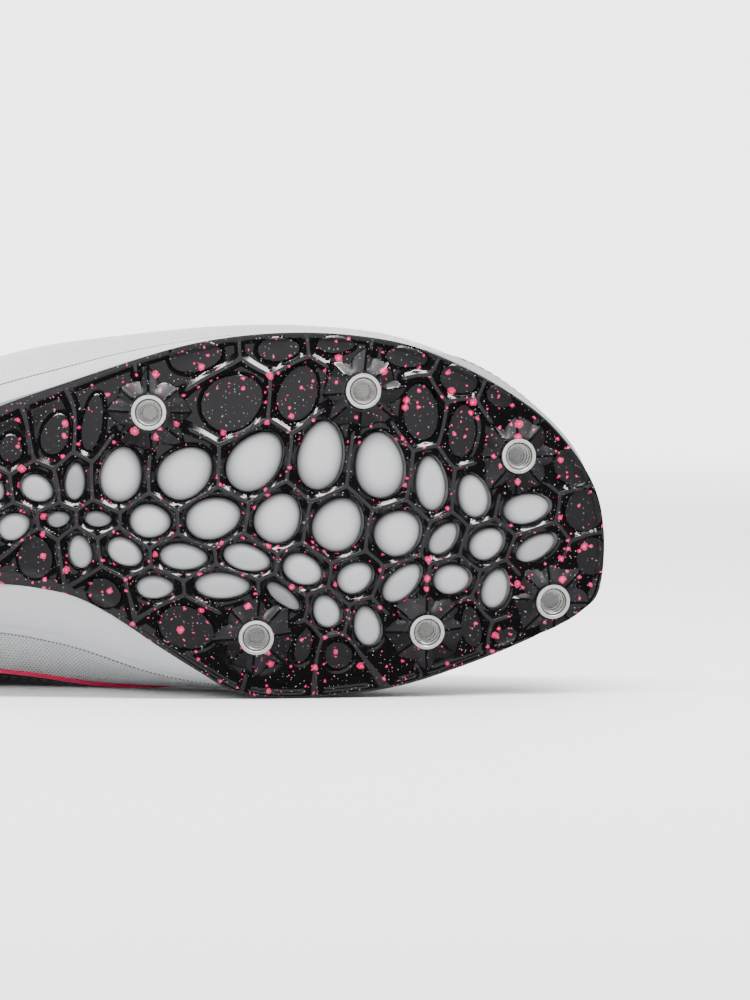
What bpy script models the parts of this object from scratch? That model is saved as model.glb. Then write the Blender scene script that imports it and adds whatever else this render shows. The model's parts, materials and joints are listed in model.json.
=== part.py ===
"""Track spike shoe for the right foot, lying on its inner side as if put down on a floor.

Metres, +Z up. The shoe is drawn lying down: +X runs from heel to toe, +Y from the sole into the
shoe and +Z from the inner (medial) edge to the outer (lateral) edge. One empty then carries all
the pieces and turns them the last degree or two, until the shoe rests on its sole's inner edge
and on the side of its upper.
"""
import math
from collections import namedtuple

import bmesh
import bpy
import numpy as np
from mathutils import Matrix, Vector

# Driving sizes of the whole shoe
LENGTH = 0.275
BALL_WIDTH = 0.094
COLLAR_HEIGHT = 0.068

# Form of the sole seen from its side
TOE_SPRING = 0.018
ARCH_RISE = 0.005
HEEL_BEVEL = 0.003
CROWN = 0.0028
HEEL_STACK = 0.0215
BALL_STACK = 0.0120
TOE_STACK = 0.0090

# Walls and gaps
PLATE_THICKNESS = 0.003
UPPER_WALL = 0.0018
OVERLAY_STEP = 0.0007
INSOLE_THICKNESS = 0.003
TONGUE_THICKNESS = 0.003
CLEARANCE = 0.0003
INSOLE_CLEARANCE = 0.0012
TONGUE_CLEARANCE = 0.0013

# Threaded sockets for screw-in spikes
SOCKET_FLANGE = 0.0090
SOCKET_BODY = 0.0074
SOCKET_BORE = 0.0052
SOCKET_CHAMFER = 0.0004
FLANGE_THICKNESS = 0.0009
SOCKET_FLOOR = 0.0008
BOSS_HEIGHT = 0.0019
BOSS_BASE = 0.0190
BOSS_TOP = 0.0112
BOSS_SUNK = 0.0018
DRILL_REACH = 0.006

# Open cells, narrower at one end like an egg, and the domes of foam in them
CELL_EGG = 0.10
DOME_GAP = 0.0006
DOME_PROUD = 0.0009
DOME_BREADTH = 0.93

# Laces
LACE_WIDTH = 0.0060
LACE_THICKNESS = 0.0012
LACE_BARS = 6
LACE_SEAT = 0.0008
LACE_FIRST = 0.40
LACE_LAST = 0.97
LACE_END_LEVEL = 2.84
LACE_RUN_LEVEL = 2.9
LACE_RUN_STEP = 0.1
LACE_STATIONS = 9

# Where the sole touches the ground, where it lifts, and how it gets thinner, as shares of length
BALL_POINT = 0.596
ARCH_POINT = 0.33
HEEL_POINT = 0.10
PLATE_FADE = (0.20, 0.28)
STACK_POINTS = (0.10, 0.72, 1.00)

# Rings of the faces of foam and insole, as shares of the way from edge to middle line
EDGE_SHARE = 0.06
MIDDLE_SHARE = 0.6
BOTTOM_SHARES = (0.9, 0.6, 0.3)

# How finely the curves are drawn
PATCH = 0.024
OUTLINE_STEPS = 2
BODY_STEPS = 2
CELL_SIDES = 10
DOME_SIDES = 8
DOME_RINGS = 5
SOCKET_SIDES = 12
BOSS_SIDES = 6
SLOPE_STEP = 0.001
NORMAL_STEP = 0.05
FLAT_NORMAL = 0.9
MERGE = 1e-6
OUTLINE_MERGE = 1e-5

# Angles above which an edge is drawn sharp, in degrees
SHARP_HARD = 35.0
SHARP_FOAM = 50.0
SHARP_CLOTH = 60.0

# A face that points less far down than this is no face to rest on
REST_LIMIT = -0.8

# The plate's outline, a loop from its tail in the arch round the outer edge and the toe:
# share of the length from the heel, share of the ball width outwards
OutlineRow = namedtuple("OutlineRow", "along across")
PLATE_OUTLINE = [OutlineRow(*row) for row in (
    (0.288, -0.065), (0.308, 0.065), (0.360, 0.180), (0.434, 0.270), (0.511, 0.349),
    (0.586, 0.419), (0.640, 0.453), (0.700, 0.468), (0.760, 0.461), (0.814, 0.433),
    (0.860, 0.380), (0.905, 0.308), (0.945, 0.222), (0.975, 0.118), (0.993, 0.020),
    (1.000, -0.080), (1.000, -0.180), (0.995, -0.262), (0.983, -0.303), (0.962, -0.340),
    (0.920, -0.395), (0.870, -0.450), (0.810, -0.503), (0.750, -0.528), (0.694, -0.535),
    (0.652, -0.515), (0.619, -0.459), (0.580, -0.385), (0.540, -0.305), (0.505, -0.252),
    (0.470, -0.228), (0.434, -0.218), (0.375, -0.222), (0.314, -0.185))]

# The plate's open cells, egg-shaped holes with a dome of foam in each: place of the centre, long
# and short diameter as shares of the ball width, and turn of the long one in degrees
Cell = namedtuple("Cell", "along across long short turn")
OPEN_CELLS = [Cell(*row) for row in (
    (0.428, 0.040, 0.07, 0.06, 90), (0.468, 0.046, 0.10, 0.08, -25), (0.504, 0.066, 0.11, 0.06, 85),
    (0.547, 0.086, 0.16, 0.12, 80), (0.607, 0.090, 0.17, 0.14, 40), (0.672, 0.121, 0.19, 0.14, 50),
    (0.733, 0.136, 0.20, 0.13, 80), (0.788, 0.107, 0.19, 0.14, 95), (0.836, 0.055, 0.16, 0.09, 95),
    (0.876, 0.018, 0.13, 0.09, 105), (0.927, -0.021, 0.14, 0.09, 8),
    (0.446, -0.059, 0.10, 0.08, 25), (0.488, -0.038, 0.07, 0.05, 10), (0.525, -0.037, 0.08, 0.05, -5),
    (0.574, -0.042, 0.12, 0.10, -5), (0.633, -0.034, 0.16, 0.12, 15), (0.693, -0.035, 0.15, 0.13, 60),
    (0.749, -0.054, 0.16, 0.14, 60), (0.805, -0.080, 0.14, 0.13, 40), (0.848, -0.098, 0.11, 0.07, 50),
    (0.889, -0.115, 0.11, 0.09, 35), (0.936, -0.129, 0.13, 0.07, 28),
    (0.508, -0.127, 0.10, 0.07, 100), (0.550, -0.127, 0.11, 0.08, -30), (0.605, -0.140, 0.14, 0.08, -5),
    (0.664, -0.144, 0.14, 0.08, -15), (0.716, -0.178, 0.12, 0.09, -25), (0.765, -0.202, 0.11, 0.09, 30),
    (0.809, -0.218, 0.14, 0.08, 45), (0.856, -0.212, 0.11, 0.09, 5), (0.897, -0.241, 0.12, 0.08, 75),
    (0.578, -0.224, 0.11, 0.07, 0), (0.641, -0.220, 0.16, 0.08, -2), (0.698, -0.251, 0.12, 0.05, -40),
    (0.738, -0.294, 0.10, 0.08, 110), (0.776, -0.337, 0.12, 0.08, 100))]

# Centres of the six sockets
Socket = namedtuple("Socket", "along across")
SOCKETS = [Socket(*row) for row in (
    (0.574, 0.254), (0.772, 0.309), (0.917, 0.126), (0.950, -0.279), (0.831, -0.353), (0.672, -0.360))]

# The last: one row for each section round the shoe, from the middle of the heel round the outer
# side to the toe and back along the inner side. Each row climbs from the foam's lower edge over
# its upper edge, the widest place of the upper and its shoulder to the rim of collar and throat.
# Lengths are shares: along of LENGTH, across of BALL_WIDTH, rise and height of COLLAR_HEIGHT. A
# rise starts at the foam's upper edge, the rim's height at the ground of the standing shoe.
Section = namedtuple("Section", "low_along low_across edge_along edge_across "
                                "belly_along belly_across belly_rise "
                                "shoulder_along shoulder_across shoulder_rise "
                                "rim_along rim_across rim_height")
SECTIONS = [Section(*row) for row in (
    (0.018, -0.257, 0.008, -0.263, 0.000, -0.267, 0.24, 0.020, -0.256, 0.54, 0.040, -0.244, 1.00),
    (0.038, -0.065, 0.028, -0.050, 0.022, -0.045, 0.24, 0.042, -0.063, 0.48, 0.058, -0.083, 0.94),
    (0.102, 0.072, 0.095, 0.108, 0.094, 0.128, 0.21, 0.108, 0.096, 0.41, 0.120, 0.043, 0.82),
    (0.190, 0.154, 0.190, 0.194, 0.190, 0.214, 0.19, 0.195, 0.177, 0.35, 0.204, 0.132, 0.74),
    (0.284, 0.199, 0.284, 0.239, 0.284, 0.279, 0.21, 0.291, 0.243, 0.46, 0.298, 0.177, 0.93),
    (0.378, 0.235, 0.378, 0.284, 0.371, 0.348, 0.23, 0.367, 0.292, 0.59, 0.364, 0.156, 1.13),
    (0.465, 0.310, 0.465, 0.350, 0.462, 0.418, 0.23, 0.458, 0.330, 0.60, 0.455, 0.143, 1.04),
    (0.553, 0.390, 0.553, 0.415, 0.549, 0.452, 0.20, 0.545, 0.330, 0.53, 0.542, 0.110, 0.89),
    (0.640, 0.440, 0.640, 0.456, 0.636, 0.473, 0.17, 0.625, 0.330, 0.47, 0.611, 0.085, 0.82),
    (0.720, 0.455, 0.720, 0.463, 0.716, 0.472, 0.16, 0.698, 0.320, 0.46, 0.640, 0.053, 0.80),
    (0.807, 0.425, 0.807, 0.430, 0.804, 0.436, 0.15, 0.764, 0.270, 0.44, 0.651, 0.027, 0.79),
    (0.895, 0.315, 0.895, 0.319, 0.891, 0.324, 0.14, 0.829, 0.180, 0.39, 0.655, 0.000, 0.785),
    (0.965, 0.135, 0.965, 0.135, 0.964, 0.132, 0.12, 0.885, 0.055, 0.34, 0.656, -0.021, 0.785),
    (0.992, -0.070, 0.990, -0.070, 0.990, -0.072, 0.11, 0.925, -0.085, 0.31, 0.656, -0.034, 0.785),
    (0.988, -0.250, 0.984, -0.248, 0.982, -0.246, 0.11, 0.915, -0.180, 0.31, 0.656, -0.048, 0.785),
    (0.940, -0.360, 0.938, -0.358, 0.935, -0.358, 0.13, 0.880, -0.258, 0.35, 0.654, -0.064, 0.79),
    (0.865, -0.446, 0.865, -0.443, 0.862, -0.450, 0.16, 0.820, -0.325, 0.41, 0.647, -0.085, 0.80),
    (0.771, -0.515, 0.771, -0.510, 0.767, -0.514, 0.18, 0.738, -0.380, 0.46, 0.633, -0.112, 0.82),
    (0.676, -0.522, 0.676, -0.522, 0.673, -0.528, 0.20, 0.658, -0.410, 0.49, 0.604, -0.133, 0.85),
    (0.582, -0.392, 0.582, -0.487, 0.575, -0.533, 0.24, 0.567, -0.440, 0.53, 0.538, -0.149, 0.91),
    (0.487, -0.245, 0.487, -0.405, 0.480, -0.537, 0.30, 0.476, -0.440, 0.60, 0.447, -0.179, 1.04),
    (0.400, -0.248, 0.400, -0.375, 0.393, -0.540, 0.30, 0.385, -0.437, 0.62, 0.356, -0.272, 1.13),
    (0.305, -0.334, 0.305, -0.421, 0.302, -0.518, 0.26, 0.298, -0.445, 0.53, 0.291, -0.369, 0.94),
    (0.204, -0.431, 0.204, -0.480, 0.200, -0.512, 0.21, 0.204, -0.473, 0.38, 0.204, -0.425, 0.77),
    (0.109, -0.476, 0.102, -0.525, 0.102, -0.535, 0.22, 0.113, -0.489, 0.43, 0.124, -0.430, 0.84),
    (0.042, -0.423, 0.030, -0.450, 0.025, -0.465, 0.24, 0.047, -0.420, 0.49, 0.062, -0.376, 0.95))]

# Levels of the upper's mesh: 0 foam edge, 1 widest place, 2 shoulder, 3 rim
LEVELS = (0.0, 0.3, 0.65, 0.94, 1.06, 1.35, 1.7, 2.05, 2.4, 2.70, 2.78, 3.0)

# Overlays on the upper, steps in its wall: the sections and the levels that each one covers
Overlay = namedtuple("Overlay", "first_section last_section low_level high_level")
OVERLAYS = [Overlay(*row) for row in (
    (4.6, 8.0, 1.0, 2.72),       # outer saddle
    (18.0, 21.6, 1.0, 2.72),     # inner saddle
    (5.0, 21.0, 2.75, 3.0),      # eyestay
    (23.2, 28.8, 0.0, 1.9),      # heel counter, across the start of the loop
    (11.0, 15.6, 0.0, 1.02))]    # toe rand

# Sections whose rims face each other across the throat, from its front to its top
THROAT_OUTER = (10.0, 5.3)
THROAT_INNER = (16.0, 20.7)
TONGUE_LEVELS = (2.4, 2.7, 3.0)
TONGUE_STATIONS = 10
TONGUE_CROWN = 0.002
TONGUE_ARCH = (0.25, 0.5, 0.75)
TONGUE_TOP = ((-0.022, 0.045, 0.72), (-0.038, 0.13, 0.70), (-0.048, 0.22, 0.58))


def material(name, color, roughness, metallic=0.0):
    """A plain Principled surface."""
    made = bpy.data.materials.new(name)
    made.use_nodes = True
    shader = made.node_tree.nodes["Principled BSDF"]
    shader.inputs["Base Color"].default_value = (*color, 1.0)
    shader.inputs["Roughness"].default_value = roughness
    shader.inputs["Metallic"].default_value = metallic
    return made


def smooth_step(value):
    """0 below 0, 1 above 1, and a soft climb between."""
    value = min(1.0, max(0.0, value))
    return value * value * (3.0 - 2.0 * value)


def sole_height(x, z):
    """Height of the sole's outer face above the ground of the standing shoe."""
    share = x / LENGTH
    height = CROWN * (2.0 * z / BALL_WIDTH) ** 2
    if share > BALL_POINT:
        height += TOE_SPRING * ((share - BALL_POINT) / (1.0 - BALL_POINT)) ** 2
    elif share > ARCH_POINT:
        height += ARCH_RISE * smooth_step((BALL_POINT - share) / (BALL_POINT - ARCH_POINT))
    elif share > HEEL_POINT:
        height += ARCH_RISE * smooth_step((share - HEEL_POINT) / (ARCH_POINT - HEEL_POINT))
    else:
        height += HEEL_BEVEL * ((HEEL_POINT - share) / HEEL_POINT) ** 2
    return height


def sole_normal(x, z):
    """Direction out of the sole, away from the foot."""
    step = SLOPE_STEP
    slope_x = (sole_height(x + step, z) - sole_height(x - step, z)) / (2.0 * step)
    slope_z = (sole_height(x, z + step) - sole_height(x, z - step)) / (2.0 * step)
    return Vector((slope_x, -1.0, slope_z)).normalized()


def foam_bottom(x, z):
    """Foam's lower face: on the ground at the heel, on the plate further forward."""
    fade = smooth_step((x / LENGTH - PLATE_FADE[0]) / (PLATE_FADE[1] - PLATE_FADE[0]))
    return sole_height(x, z) + fade * (PLATE_THICKNESS + CLEARANCE)


def foam_top(x):
    """Foam's upper face, level from side to side and flat under the heel."""
    heel, ball, toe = STACK_POINTS
    share = x / LENGTH
    if share < ball:
        stack = HEEL_STACK + (BALL_STACK - HEEL_STACK) * smooth_step((share - heel) / (ball - heel))
    else:
        stack = BALL_STACK + (TOE_STACK - BALL_STACK) * smooth_step((share - ball) / (toe - ball))
    return stack + sole_height(max(x, HEEL_POINT * LENGTH), 0.0)


def curve_point(rows, place, closed):
    """Point at a place counted in rows, on a smooth curve through every row."""
    count = len(rows)
    start = int(math.floor(place))
    if not closed:
        start = min(max(start, 0), count - 2)
    share = place - start

    def row(index):
        if closed:
            return rows[index % count]
        if index < 0:
            return 2.0 * rows[0] - rows[1]
        if index >= count:
            return 2.0 * rows[-1] - rows[-2]
        return rows[index]

    before, first, second, after = (row(start + k) for k in (-1, 0, 1, 2))
    return 0.5 * (2.0 * first + (second - before) * share
                  + (2.0 * before - 5.0 * first + 4.0 * second - after) * share ** 2
                  + (3.0 * first - before - 3.0 * second + after) * share ** 3)


def plate_loop():
    """Points of the plate's outline in the sole's plane."""
    rows = [np.array((row.along * LENGTH, row.across * BALL_WIDTH)) for row in PLATE_OUTLINE]
    count = len(rows) * OUTLINE_STEPS
    return [curve_point(rows, k / OUTLINE_STEPS, True) for k in range(count)]


def cell_loop(cell, grow=0.0):
    """Points round one cell, with its wide end towards the heel like an egg."""
    turn = math.radians(cell.turn)
    points = []
    for k in range(CELL_SIDES):
        angle = 2.0 * math.pi * k / CELL_SIDES
        reach = cell.long * BALL_WIDTH / 2.0 + grow
        breadth = (cell.short * BALL_WIDTH / 2.0 + grow) * (1.0 - CELL_EGG * math.cos(angle))
        a = reach * math.cos(angle)
        b = breadth * math.sin(angle)
        points.append(np.array((cell.along * LENGTH + a * math.cos(turn) - b * math.sin(turn),
                                cell.across * BALL_WIDTH + a * math.sin(turn) + b * math.cos(turn))))
    return points


def section_point(place, level):
    """Point of the upper's outer face: place counts sections round the shoe, level climbs it."""
    table = [np.array(row) for row in SECTIONS]
    row = Section(*curve_point(table, place, True))
    edge_x = row.edge_along * LENGTH
    edge_y = foam_top(edge_x) + CLEARANCE
    stops = [
        np.array((edge_x, edge_y, row.edge_across * BALL_WIDTH)),
        np.array((row.belly_along * LENGTH, edge_y + row.belly_rise * COLLAR_HEIGHT,
                  row.belly_across * BALL_WIDTH)),
        np.array((row.shoulder_along * LENGTH, edge_y + row.shoulder_rise * COLLAR_HEIGHT,
                  row.shoulder_across * BALL_WIDTH)),
        np.array((row.rim_along * LENGTH, row.rim_height * COLLAR_HEIGHT,
                  row.rim_across * BALL_WIDTH))]
    return Vector(curve_point(stops, level, False))


def section_normal(place, level):
    """Outward direction of the upper's outer face."""
    step = NORMAL_STEP
    round_shoe = section_point(place + step, level) - section_point(place - step, level)
    low = max(LEVELS[0], level - step)
    high = min(LEVELS[-1], level + step)
    climb = section_point(place, high) - section_point(place, low)
    return round_shoe.cross(climb).normalized()


def overlay_share(place, level):
    """1 on an overlay of the upper, 0 beside it."""
    count = len(SECTIONS)
    for overlay in OVERLAYS:
        for turn in (place, place + count):
            on_place = overlay.first_section <= turn <= overlay.last_section
            if on_place and overlay.low_level <= level <= overlay.high_level:
                return 1.0
    return 0.0


def add_object(name, mesh, finish, collection, frame):
    """One named piece in its collection, carried by the frame."""
    made = bpy.data.objects.new(name, mesh)
    mesh.materials.clear()
    mesh.materials.append(finish)
    collection.objects.link(made)
    made.parent = frame
    return made


def mesh_from_bmesh(name, bm, sharp_degrees=SHARP_HARD, closed=True):
    """Mesh shaded smooth up to a sharp angle, a closed one with its faces turned outwards."""
    if closed:
        bmesh.ops.recalc_face_normals(bm, faces=bm.faces)
    mesh = bpy.data.meshes.new(name)
    bm.to_mesh(mesh)
    bm.free()
    mesh.shade_smooth()
    mesh.set_sharp_from_angle(angle=math.radians(sharp_degrees))
    return mesh


def ladder(bm, row):
    """Close a long loop with rungs from one side to the other."""
    count = len(row)
    for k in range(count // 2):
        corners = [row[k], row[k + 1], row[count - k - 1], row[(count - k) % count]]
        bm.faces.new(list(dict.fromkeys(corners)))


def loft(rings, closed_rings, cap_first=False, cap_last=False):
    """Skin through rings of equally many points, its ends closed where that is wanted."""
    bm = bmesh.new()
    rows = [[bm.verts.new(point) for point in ring] for ring in rings]
    count = len(rows[0])
    for lower, upper in zip(rows, rows[1:]):
        for k in range(count if closed_rings else count - 1):
            after = (k + 1) % count
            bm.faces.new((lower[k], lower[after], upper[after], upper[k]))
    for wanted, row in ((cap_first, rows[0]), (cap_last, rows[-1])):
        if wanted:
            ladder(bm, row)
    return bm


def flat_outline(name, loops, thickness):
    """A flat sheet with holes, from a filled 2D curve: the first loop is its outline."""
    curve = bpy.data.curves.new(name, "CURVE")
    curve.dimensions = "2D"
    curve.fill_mode = "BOTH"
    curve.extrude = thickness / 2.0
    for loop in loops:
        spline = curve.splines.new("POLY")
        spline.points.add(len(loop) - 1)
        for point, place in zip(spline.points, loop):
            point.co = (place[0], place[1], 0.0, 1.0)
        spline.use_cyclic_u = True
    holder = bpy.data.objects.new(name, curve)
    bpy.context.scene.collection.objects.link(holder)
    bpy.context.view_layer.update()
    evaluated = holder.evaluated_get(bpy.context.evaluated_depsgraph_get())
    mesh = bpy.data.meshes.new_from_object(evaluated)
    bpy.data.objects.remove(holder)
    bm = bmesh.new()
    bm.from_mesh(mesh)
    bpy.data.meshes.remove(mesh)
    bmesh.ops.remove_doubles(bm, verts=bm.verts, dist=OUTLINE_MERGE)
    cut_into_patches(bm)
    return bm


def cut_into_patches(bm):
    """Split a flat sheet into small patches, so that it can follow a curved face."""
    flat = {face for face in bm.faces if abs(face.normal.z) > FLAT_NORMAL}
    inside = [edge for edge in bm.edges if flat.issuperset(edge.link_faces)]
    bmesh.ops.beautify_fill(bm, faces=list(flat), edges=inside, method="ANGLE")
    for axis, reach in ((Vector((1.0, 0.0, 0.0)), LENGTH), (Vector((0.0, 1.0, 0.0)), BALL_WIDTH / 2.0)):
        for step in range(int(-reach / PATCH) + 1, int(reach / PATCH) + 1):
            geometry = bm.verts[:] + bm.edges[:] + bm.faces[:]
            bmesh.ops.bisect_plane(bm, geom=geometry, dist=MERGE, plane_co=axis * step * PATCH,
                                   plane_no=axis)


def lay_on(bm, face_height, sign=1.0):
    """Lay a flat sheet drawn in X and Y on a curved face: Y becomes Z, thickness becomes Y."""
    low = min(vert.co.z for vert in bm.verts)
    for vert in bm.verts:
        x, z, depth = vert.co.x, vert.co.y, vert.co.z - low
        vert.co = (x, face_height(x, z) + sign * depth, z)


def seat_matrix(x, z, lift):
    """Frame whose Z points out of the sole at a place, lifted above the plate's outer face."""
    normal = sole_normal(x, z)
    place = Vector((x, sole_height(x, z), z)) + normal * lift
    turn = normal.to_track_quat("Z", "X").to_matrix().to_4x4()
    return Matrix.Translation(place) @ turn


def turned(name, profile, sides, matrix):
    """Solid of revolution about Z: a closed profile of (radius, height), spun once round."""
    bm = bmesh.new()
    verts = [bm.verts.new((radius, 0.0, height)) for radius, height in profile]
    edges = [bm.edges.new(pair) for pair in zip(verts, verts[1:])]
    bmesh.ops.spin(bm, geom=verts + edges, cent=(0.0, 0.0, 0.0), axis=(0.0, 0.0, 1.0),
                   angle=2.0 * math.pi, steps=sides, use_merge=True, use_duplicate=False)
    bmesh.ops.remove_doubles(bm, verts=bm.verts, dist=MERGE)
    bmesh.ops.transform(bm, matrix=matrix, verts=bm.verts)
    return mesh_from_bmesh(name, bm)


def boolean(target, cutter, operation):
    """Boolean modifier against a cutter that stays out of the finished part."""
    modifier = target.modifiers.new(operation.lower(), "BOOLEAN")
    modifier.operation = operation
    modifier.solver = "EXACT"
    modifier.object = cutter


def add_cutter(name, meshes, collection, frame):
    """Several closed meshes joined into one hidden helper."""
    bm = bmesh.new()
    for mesh in meshes:
        bm.from_mesh(mesh)
        bpy.data.meshes.remove(mesh)
    made = bpy.data.objects.new(name, mesh_from_bmesh(name, bm))
    collection.objects.link(made)
    made.parent = frame
    made.hide_render = True
    made.display_type = "WIRE"
    return made


def make_plate(collection, helpers, frame, finish):
    """Moulded plate: outline with open cells, and a raised boss round each socket."""
    loops = [plate_loop()] + [cell_loop(cell) for cell in OPEN_CELLS]
    bm = flat_outline("spike_plate", loops, PLATE_THICKNESS)
    lay_on(bm, sole_height)
    plate = add_object("spike_plate", mesh_from_bmesh("spike_plate", bm), finish, collection, frame)
    seats = [(row.along * LENGTH, row.across * BALL_WIDTH) for row in SOCKETS]
    cone = [(0.0, -BOSS_SUNK), (BOSS_BASE / 2.0, -BOSS_SUNK), (BOSS_BASE / 2.0, 0.0),
            (BOSS_TOP / 2.0, BOSS_HEIGHT), (0.0, BOSS_HEIGHT)]
    bosses = [turned("boss", cone, BOSS_SIDES, seat_matrix(x, z, 0.0)) for x, z in seats]
    boolean(plate, add_cutter("bosses", bosses, helpers, frame), "UNION")
    wide = SOCKET_FLANGE / 2.0 + CLEARANCE
    narrow = SOCKET_BODY / 2.0 + CLEARANCE
    step = BOSS_HEIGHT - FLANGE_THICKNESS - CLEARANCE
    drill = [(0.0, -DRILL_REACH), (narrow, -DRILL_REACH), (narrow, step), (wide, step),
             (wide, DRILL_REACH), (0.0, DRILL_REACH)]
    holes = [turned("hole", drill, SOCKET_SIDES, seat_matrix(x, z, 0.0)) for x, z in seats]
    boolean(plate, add_cutter("socket_holes", holes, helpers, frame), "DIFFERENCE")
    return plate


def make_sockets(collection, frame, finish):
    """Steel inserts: a flange on the boss, a body down through the plate and a blind bore."""
    bottom = -(PLATE_THICKNESS - CLEARANCE)
    outer = SOCKET_FLANGE / 2.0
    body = SOCKET_BODY / 2.0
    bore = SOCKET_BORE / 2.0
    shelf = BOSS_HEIGHT - FLANGE_THICKNESS
    profile = [(0.0, bottom), (body, bottom), (body, shelf), (outer, shelf),
               (outer, BOSS_HEIGHT), (bore + SOCKET_CHAMFER, BOSS_HEIGHT),
               (bore, BOSS_HEIGHT - SOCKET_CHAMFER), (bore, bottom + SOCKET_FLOOR),
               (0.0, bottom + SOCKET_FLOOR)]
    for number, row in enumerate(SOCKETS, 1):
        name = f"spike_socket_{number}"
        matrix = seat_matrix(row.along * LENGTH, row.across * BALL_WIDTH, 0.0)
        add_object(name, turned(name, profile, SOCKET_SIDES, matrix), finish, collection, frame)


def side_loops():
    """Lower and upper edge of the foam, as loops in the sole's plane."""
    table = [np.array(row) for row in SECTIONS]
    count = len(SECTIONS) * BODY_STEPS
    rows = [Section(*curve_point(table, k / BODY_STEPS, True)) for k in range(count)]
    low = [np.array((row.low_along * LENGTH, row.low_across * BALL_WIDTH)) for row in rows]
    edge = [np.array((row.edge_along * LENGTH, row.edge_across * BALL_WIDTH)) for row in rows]
    return low, edge


def inset_loop(loop, inset):
    """Loop moved inwards, square to its own run."""
    moved = []
    for k, point in enumerate(loop):
        chord = loop[(k + 1) % len(loop)] - loop[k - 1]
        inward = np.array((chord[1], -chord[0])) / np.linalg.norm(chord)
        moved.append(point + inward * inset)
    return moved


def inner_ring(loop, share, height):
    """Ring on a face, part of the way from the loop to the shoe's middle line."""
    ring = []
    for k, point in enumerate(loop):
        across = loop[-k] - point
        x, z = point + across * (share / 2.0)
        ring.append((x, height(x, z), z))
    return ring


def make_midsole(collection, helpers, frame, finish):
    """Foam from heel to toe: two edge loops joined by a side wall, with domes through the cells."""
    low, edge = side_loops()
    shares = (*BOTTOM_SHARES, EDGE_SHARE, 0.0)
    bottom = [inner_ring(low, share, foam_bottom) for share in shares]
    shares = (0.0, EDGE_SHARE, MIDDLE_SHARE)
    top = [inner_ring(edge, share, lambda x, z: foam_top(x)) for share in shares]
    wall = [[0.5 * (Vector(a) + Vector(b)) for a, b in zip(bottom[-1], top[0])]]
    bm = loft(bottom + wall + top, True, cap_first=True, cap_last=True)
    midsole = add_object("midsole", mesh_from_bmesh("midsole", bm, SHARP_FOAM), finish, collection, frame)
    depth = PLATE_THICKNESS + CLEARANCE + DOME_PROUD
    domes = []
    for cell in OPEN_CELLS:
        x, z = cell.along * LENGTH, cell.across * BALL_WIDTH
        ball = bmesh.new()
        bmesh.ops.create_uvsphere(ball, u_segments=DOME_SIDES, v_segments=DOME_RINGS, radius=1.0)
        reach = cell.long * BALL_WIDTH / 2.0 - DOME_GAP
        breadth = cell.short * BALL_WIDTH / 2.0 * DOME_BREADTH - DOME_GAP
        bmesh.ops.scale(ball, vec=(reach, breadth, depth), verts=ball.verts)
        turn = Matrix.Rotation(-math.radians(cell.turn), 4, "Y") @ Matrix.Rotation(math.pi / 2, 4, "X")
        centre = Vector((x, sole_height(x, z), z)) - sole_normal(x, z) * (depth - DOME_PROUD)
        tilt = Vector((0.0, -1.0, 0.0)).rotation_difference(sole_normal(x, z)).to_matrix().to_4x4()
        bmesh.ops.transform(ball, matrix=Matrix.Translation(centre) @ tilt @ turn, verts=ball.verts)
        domes.append(mesh_from_bmesh("dome", ball))
    boolean(midsole, add_cutter("domes", domes, helpers, frame), "UNION")


def make_upper(collection, frame, finish):
    """Hollow upper: one wall round the last, open at collar and throat and underneath."""
    count = len(SECTIONS) * BODY_STEPS
    rings = []
    for level in LEVELS:
        ring = []
        for k in range(count):
            place = k / BODY_STEPS
            step = OVERLAY_STEP * overlay_share(place, level)
            ring.append(section_point(place, level) + section_normal(place, level) * step)
        rings.append(ring)
    bm = loft(rings, True)
    mesh = mesh_from_bmesh("upper", bm, SHARP_CLOTH, closed=False)
    upper = add_object("upper", mesh, finish, collection, frame)
    wall = upper.modifiers.new("wall", "SOLIDIFY")
    wall.thickness = UPPER_WALL
    wall.offset = -1.0
    wall.use_even_offset = False


def throat_place(share):
    """Sections on both sides of the throat: 0 at its front, 1 at its top."""
    outer = THROAT_OUTER[0] + (THROAT_OUTER[1] - THROAT_OUTER[0]) * share
    inner = THROAT_INNER[0] + (THROAT_INNER[1] - THROAT_INNER[0]) * share
    return outer, inner


def tongue_rings():
    """Cross-sections of the tongue's outer face, under the eyestay and arched between its rims."""
    depth = UPPER_WALL + TONGUE_CLEARANCE

    def under(place, level):
        return section_point(place, level) - section_normal(place, level) * depth

    rings = []
    for k in range(TONGUE_STATIONS):
        share = k / (TONGUE_STATIONS - 1)
        outer, inner = throat_place(share)
        left = [under(outer, level) for level in TONGUE_LEVELS]
        right = [under(inner, level) for level in TONGUE_LEVELS]
        rise = Vector((0.0, 2.0 * TONGUE_CROWN * smooth_step(2.0 * share), 0.0))
        crown = 0.5 * (left[-1] + right[-1]) + rise
        arch = [left[-1] * (1 - t) ** 2 + crown * 2 * t * (1 - t) + right[-1] * t ** 2
                for t in TONGUE_ARCH]
        rings.append(left + arch + right[::-1])
    last = rings[-1]
    middle = 0.5 * (last[0] + last[-1])
    for along, rise, width in TONGUE_TOP:
        shift = Vector((along * LENGTH, rise * COLLAR_HEIGHT, 0.0))
        ring = [point + shift for point in last]
        for point in ring:
            point.z = middle.z + (point.z - middle.z) * width
        rings.append(ring)
    return rings


def make_tongue(collection, frame, finish):
    """Tongue: one padded strip from under the vamp to above the collar."""
    bm = loft(tongue_rings(), False)
    mesh = mesh_from_bmesh("tongue", bm, SHARP_CLOTH, closed=False)
    tongue = add_object("tongue", mesh, finish, collection, frame)
    pad = tongue.modifiers.new("pad", "SOLIDIFY")
    pad.thickness = TONGUE_THICKNESS
    pad.offset = -1.0
    pad.use_even_offset = False


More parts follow.
